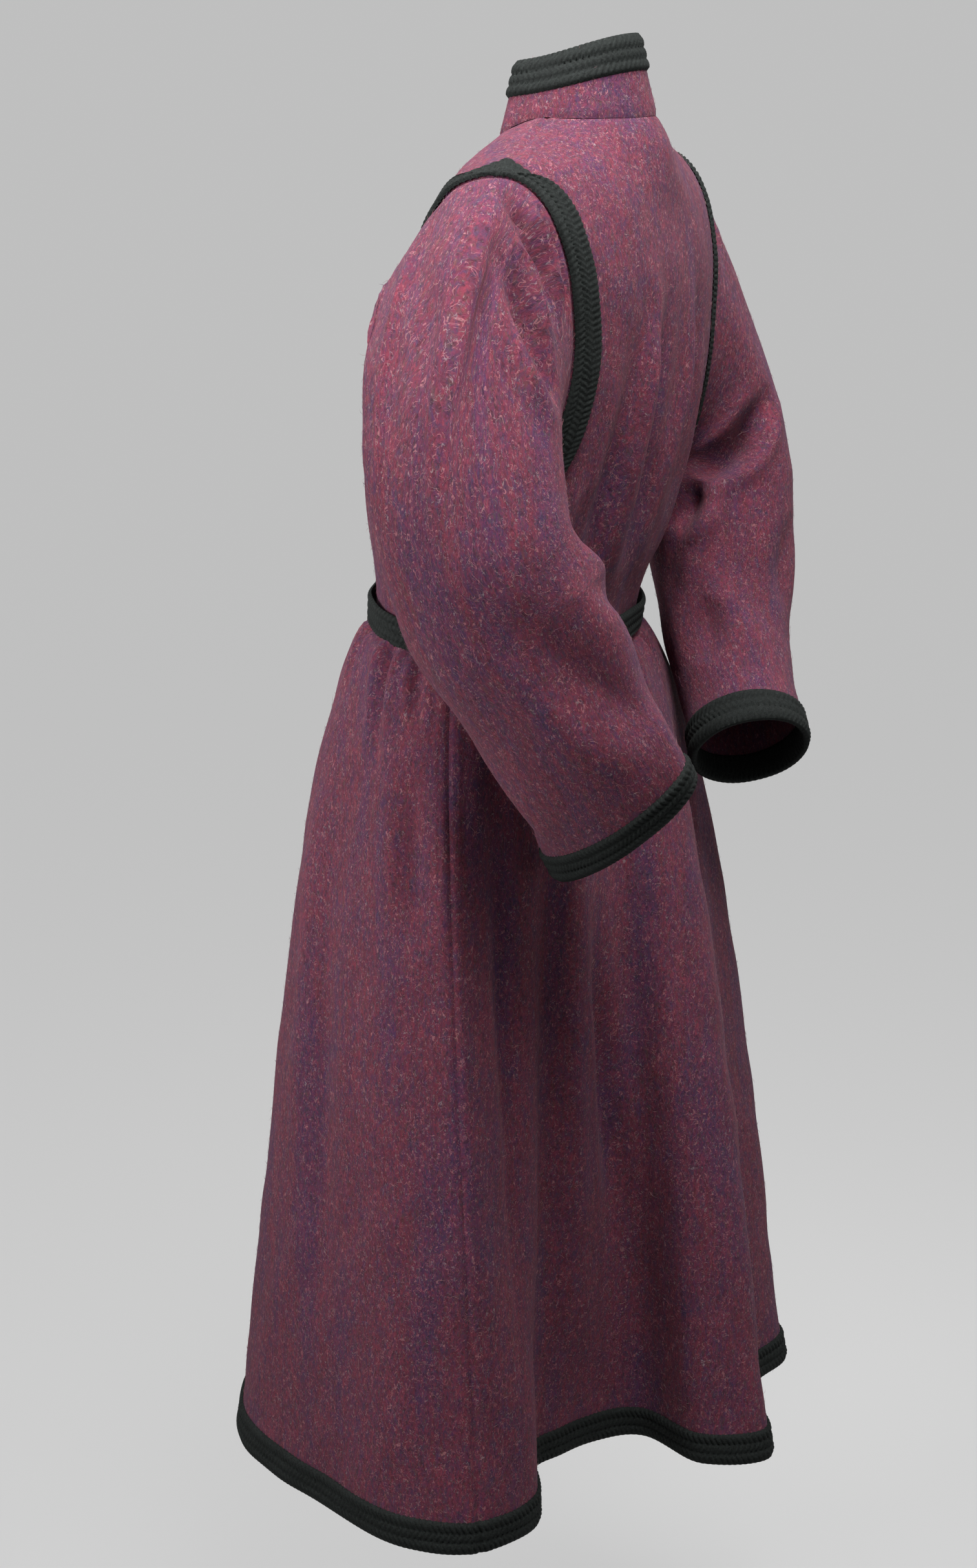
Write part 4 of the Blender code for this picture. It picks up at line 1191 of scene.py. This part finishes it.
def fibre_material():
    """Loose fibres of the nap, in the colours of the melange by their own shade."""
    material, shader, nodes, links = surface("wool nap", FIBRE_SURFACE)
    grain = add(nodes, "ShaderNodeAttribute", attribute_name="grain")
    split = add(nodes, "ShaderNodeSeparateXYZ")
    links.new(grain.outputs["Vector"], split.inputs["Vector"])
    links.new(colour_ramp(nodes, links, split.outputs["X"], FIBRE_STOPS), shader.inputs["Base Color"])
    return material


def braid_material():
    material, shader, nodes, links = surface("braid charcoal", BRAID_SURFACE)
    coordinates = add(nodes, "ShaderNodeTexCoord")
    texture = add(nodes, "ShaderNodeTexNoise", BRAID_GRAIN)
    links.new(coordinates.outputs["Object"], texture.inputs["Vector"])
    links.new(colour_ramp(nodes, links, texture.outputs["Fac"], BRAID_STOPS), shader.inputs["Base Color"])
    roughen(nodes, links, shader, texture.outputs["Fac"], *BRAID_BUMP)
    return material


def aimed(name, data, place, aim):
    """A camera or a light in its place, turned to what it is aimed at."""
    holder = bpy.data.objects.new(name, data)
    bpy.context.scene.collection.objects.link(holder)
    holder.location = place
    holder.rotation_mode = "QUATERNION"
    holder.rotation_quaternion = (Vector(aim) - Vector(place)).to_track_quat("-Z", "Y")
    return holder


def stage():
    scene = bpy.context.scene
    camera = bpy.data.cameras.new("camera")
    camera.sensor_width = CAMERA_SENSOR
    camera.lens = CAMERA_LENS
    camera.clip_start, camera.clip_end = CAMERA_CLIP
    scene.camera = aimed("camera", camera, CAMERA_PLACE, CAMERA_AIM)

    material = surface("floor", FLOOR_SURFACE)[0]
    signs = ((-1, -1), (1, -1), (1, 1), (-1, 1))
    corners = np.array([(x * FLOOR_SIZE, y * FLOOR_SIZE, FLOOR_HEIGHT) for x, y in signs])
    floor = mesh_object("floor", corners, [[0, 1, 2, 3]], [material])

    world = bpy.data.worlds.new("studio")
    world.use_nodes = True
    nodes, links = world.node_tree.nodes, world.node_tree.links
    direction = add(nodes, "ShaderNodeTexCoord")
    split = add(nodes, "ShaderNodeSeparateXYZ")
    links.new(direction.outputs["Generated"], split.inputs["Vector"])
    sky = colour_ramp(nodes, links, split.outputs["Z"], SKY_STOPS)
    links.new(sky, nodes["Background"].inputs["Color"])
    scene.world = world
    scene.view_settings.view_transform = "Standard"

    for name, (place, side, power, spread) in LIGHTS.items():
        light = bpy.data.lights.new(name, "AREA")
        light.shape = "RECTANGLE"
        light.size, light.size_y = side, side
        light.energy = power
        light.spread = spread
        aimed(name, light, place, LIGHT_AIM)


def declare(piece, node):
    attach(piece, "root")
    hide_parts(node)
    return piece


def lay_cloth(panels, collar, sleeves):
    """The wool pieces and their naps, by name."""
    wool = wool_material()
    fibres = fibre_material()
    cloths = [
        ("front_left", panels["front_left"], False, False),
        ("front_right", panels["front_right"], False, True),
        ("back", joined_back(panels["back_left"], panels["back_right"]), False, False),
        ("collar", collar, False, False),
        ("sleeve_left", sleeves["left"], True, False),
        ("sleeve_right", sleeves["right"], True, True),
    ]
    pieces, naps = {}, {}
    for name, cloth, tube, mirrored in cloths:
        pieces[name] = declare(wall(name + "_cloth", cloth, wool, tube, mirrored), name)
        naps[name] = nap(name, cloth, fibres, tube)
    return pieces, naps


def lay_braids(panels, order, collar, sleeves, bands):
    """The braids and the belt, by name."""
    charcoal = braid_material()
    binding = binding_outline()
    pieces = {}

    def lay(name, lines, outline, slot="braid", **form):
        piece = braid(name + "_plait", lines, outline, charcoal, **form)
        pieces[name] = declare(piece, name)

    lay("braid_collar", np.swapaxes(collar.lines()[:HEM_FINE + 1], 0, 1), binding)
    hem = slice(-HEM_FINE - 1, None)
    lines = all_round(order, lambda panel: panel.lines()[hem])
    lay("braid_hem", from_edge(led_on(lines, FRONT_INSET - SEAM_GAP / 2)), binding)

    width = BRAID_WIDTH - FRONT_INSET
    for side in SIDES:
        panel = panels["front_" + side]
        lower = edge_band(panel, np.arange(1, len(panel.points) - HEM_FINE), width, False)
        collar_lines = collar.lines()[HEM_FINE:, ::1 if side == "left" else -1]
        upper = [band_line(line, width) for line in collar_lines[:, :COLLAR_FRONT_COLUMNS]]
        lay("braid_front_" + side, np.concatenate([np.array(upper), lower]), binding, trim=BRAID_END_GAP)

    flat = flat_outline(BRAID_ROWS, ARMHOLE_LAP, BRAID_THICK)
    for side in SIDES:
        lay("braid_cuff_" + side, from_edge(sleeves[side].lines()[hem]), binding, ring=True)
        lay("braid_armhole_" + side, bands[side], flat, ring=True)

    source_rows = panels["front_left"].rows[:, 0]
    belt = (source_rows > BELT_ROW - 1e-6) & (source_rows < WAIST_ROW + 1e-6)
    lines = all_round(order, lambda panel: panel.lines()[belt])
    flat = flat_outline(BELT_ROWS, BRAID_LAP + BELT_CLEAR, BELT_THICK)
    lay("belt", from_edge(lines), flat, "belt", rows=BELT_ROWS, ring=True)
    return pieces


def build():
    panels = build_cloth()
    crease_body(panels)
    order = [panels[name] for name in ("front_left", "back_left", "back_right", "front_right")]
    collar = collar_cloth(order)
    sleeves, bands = {}, {}
    for side in SIDES:
        front, back = panels["front_" + side], panels["back_" + side]
        sleeves[side] = sleeve_cloth(*armhole_loop(front, back), SLEEVES[side], SLEEVE_FOLDS[side],
                                     side == "left")
        bands[side] = armhole_band(front, back)
    for panel in panels.values():
        finish_panel(panel)
    for side in SIDES:
        crease_sleeve(sleeves[side], SLEEVE_CREASES[side])
    collar.points = seam_dip(collar, run_lengths(collar.points[::-1], 0)[::-1])

    pieces, naps = lay_cloth(panels, collar, sleeves)
    pieces.update(lay_braids(panels, order, collar, sleeves, bands))


stage()
build()
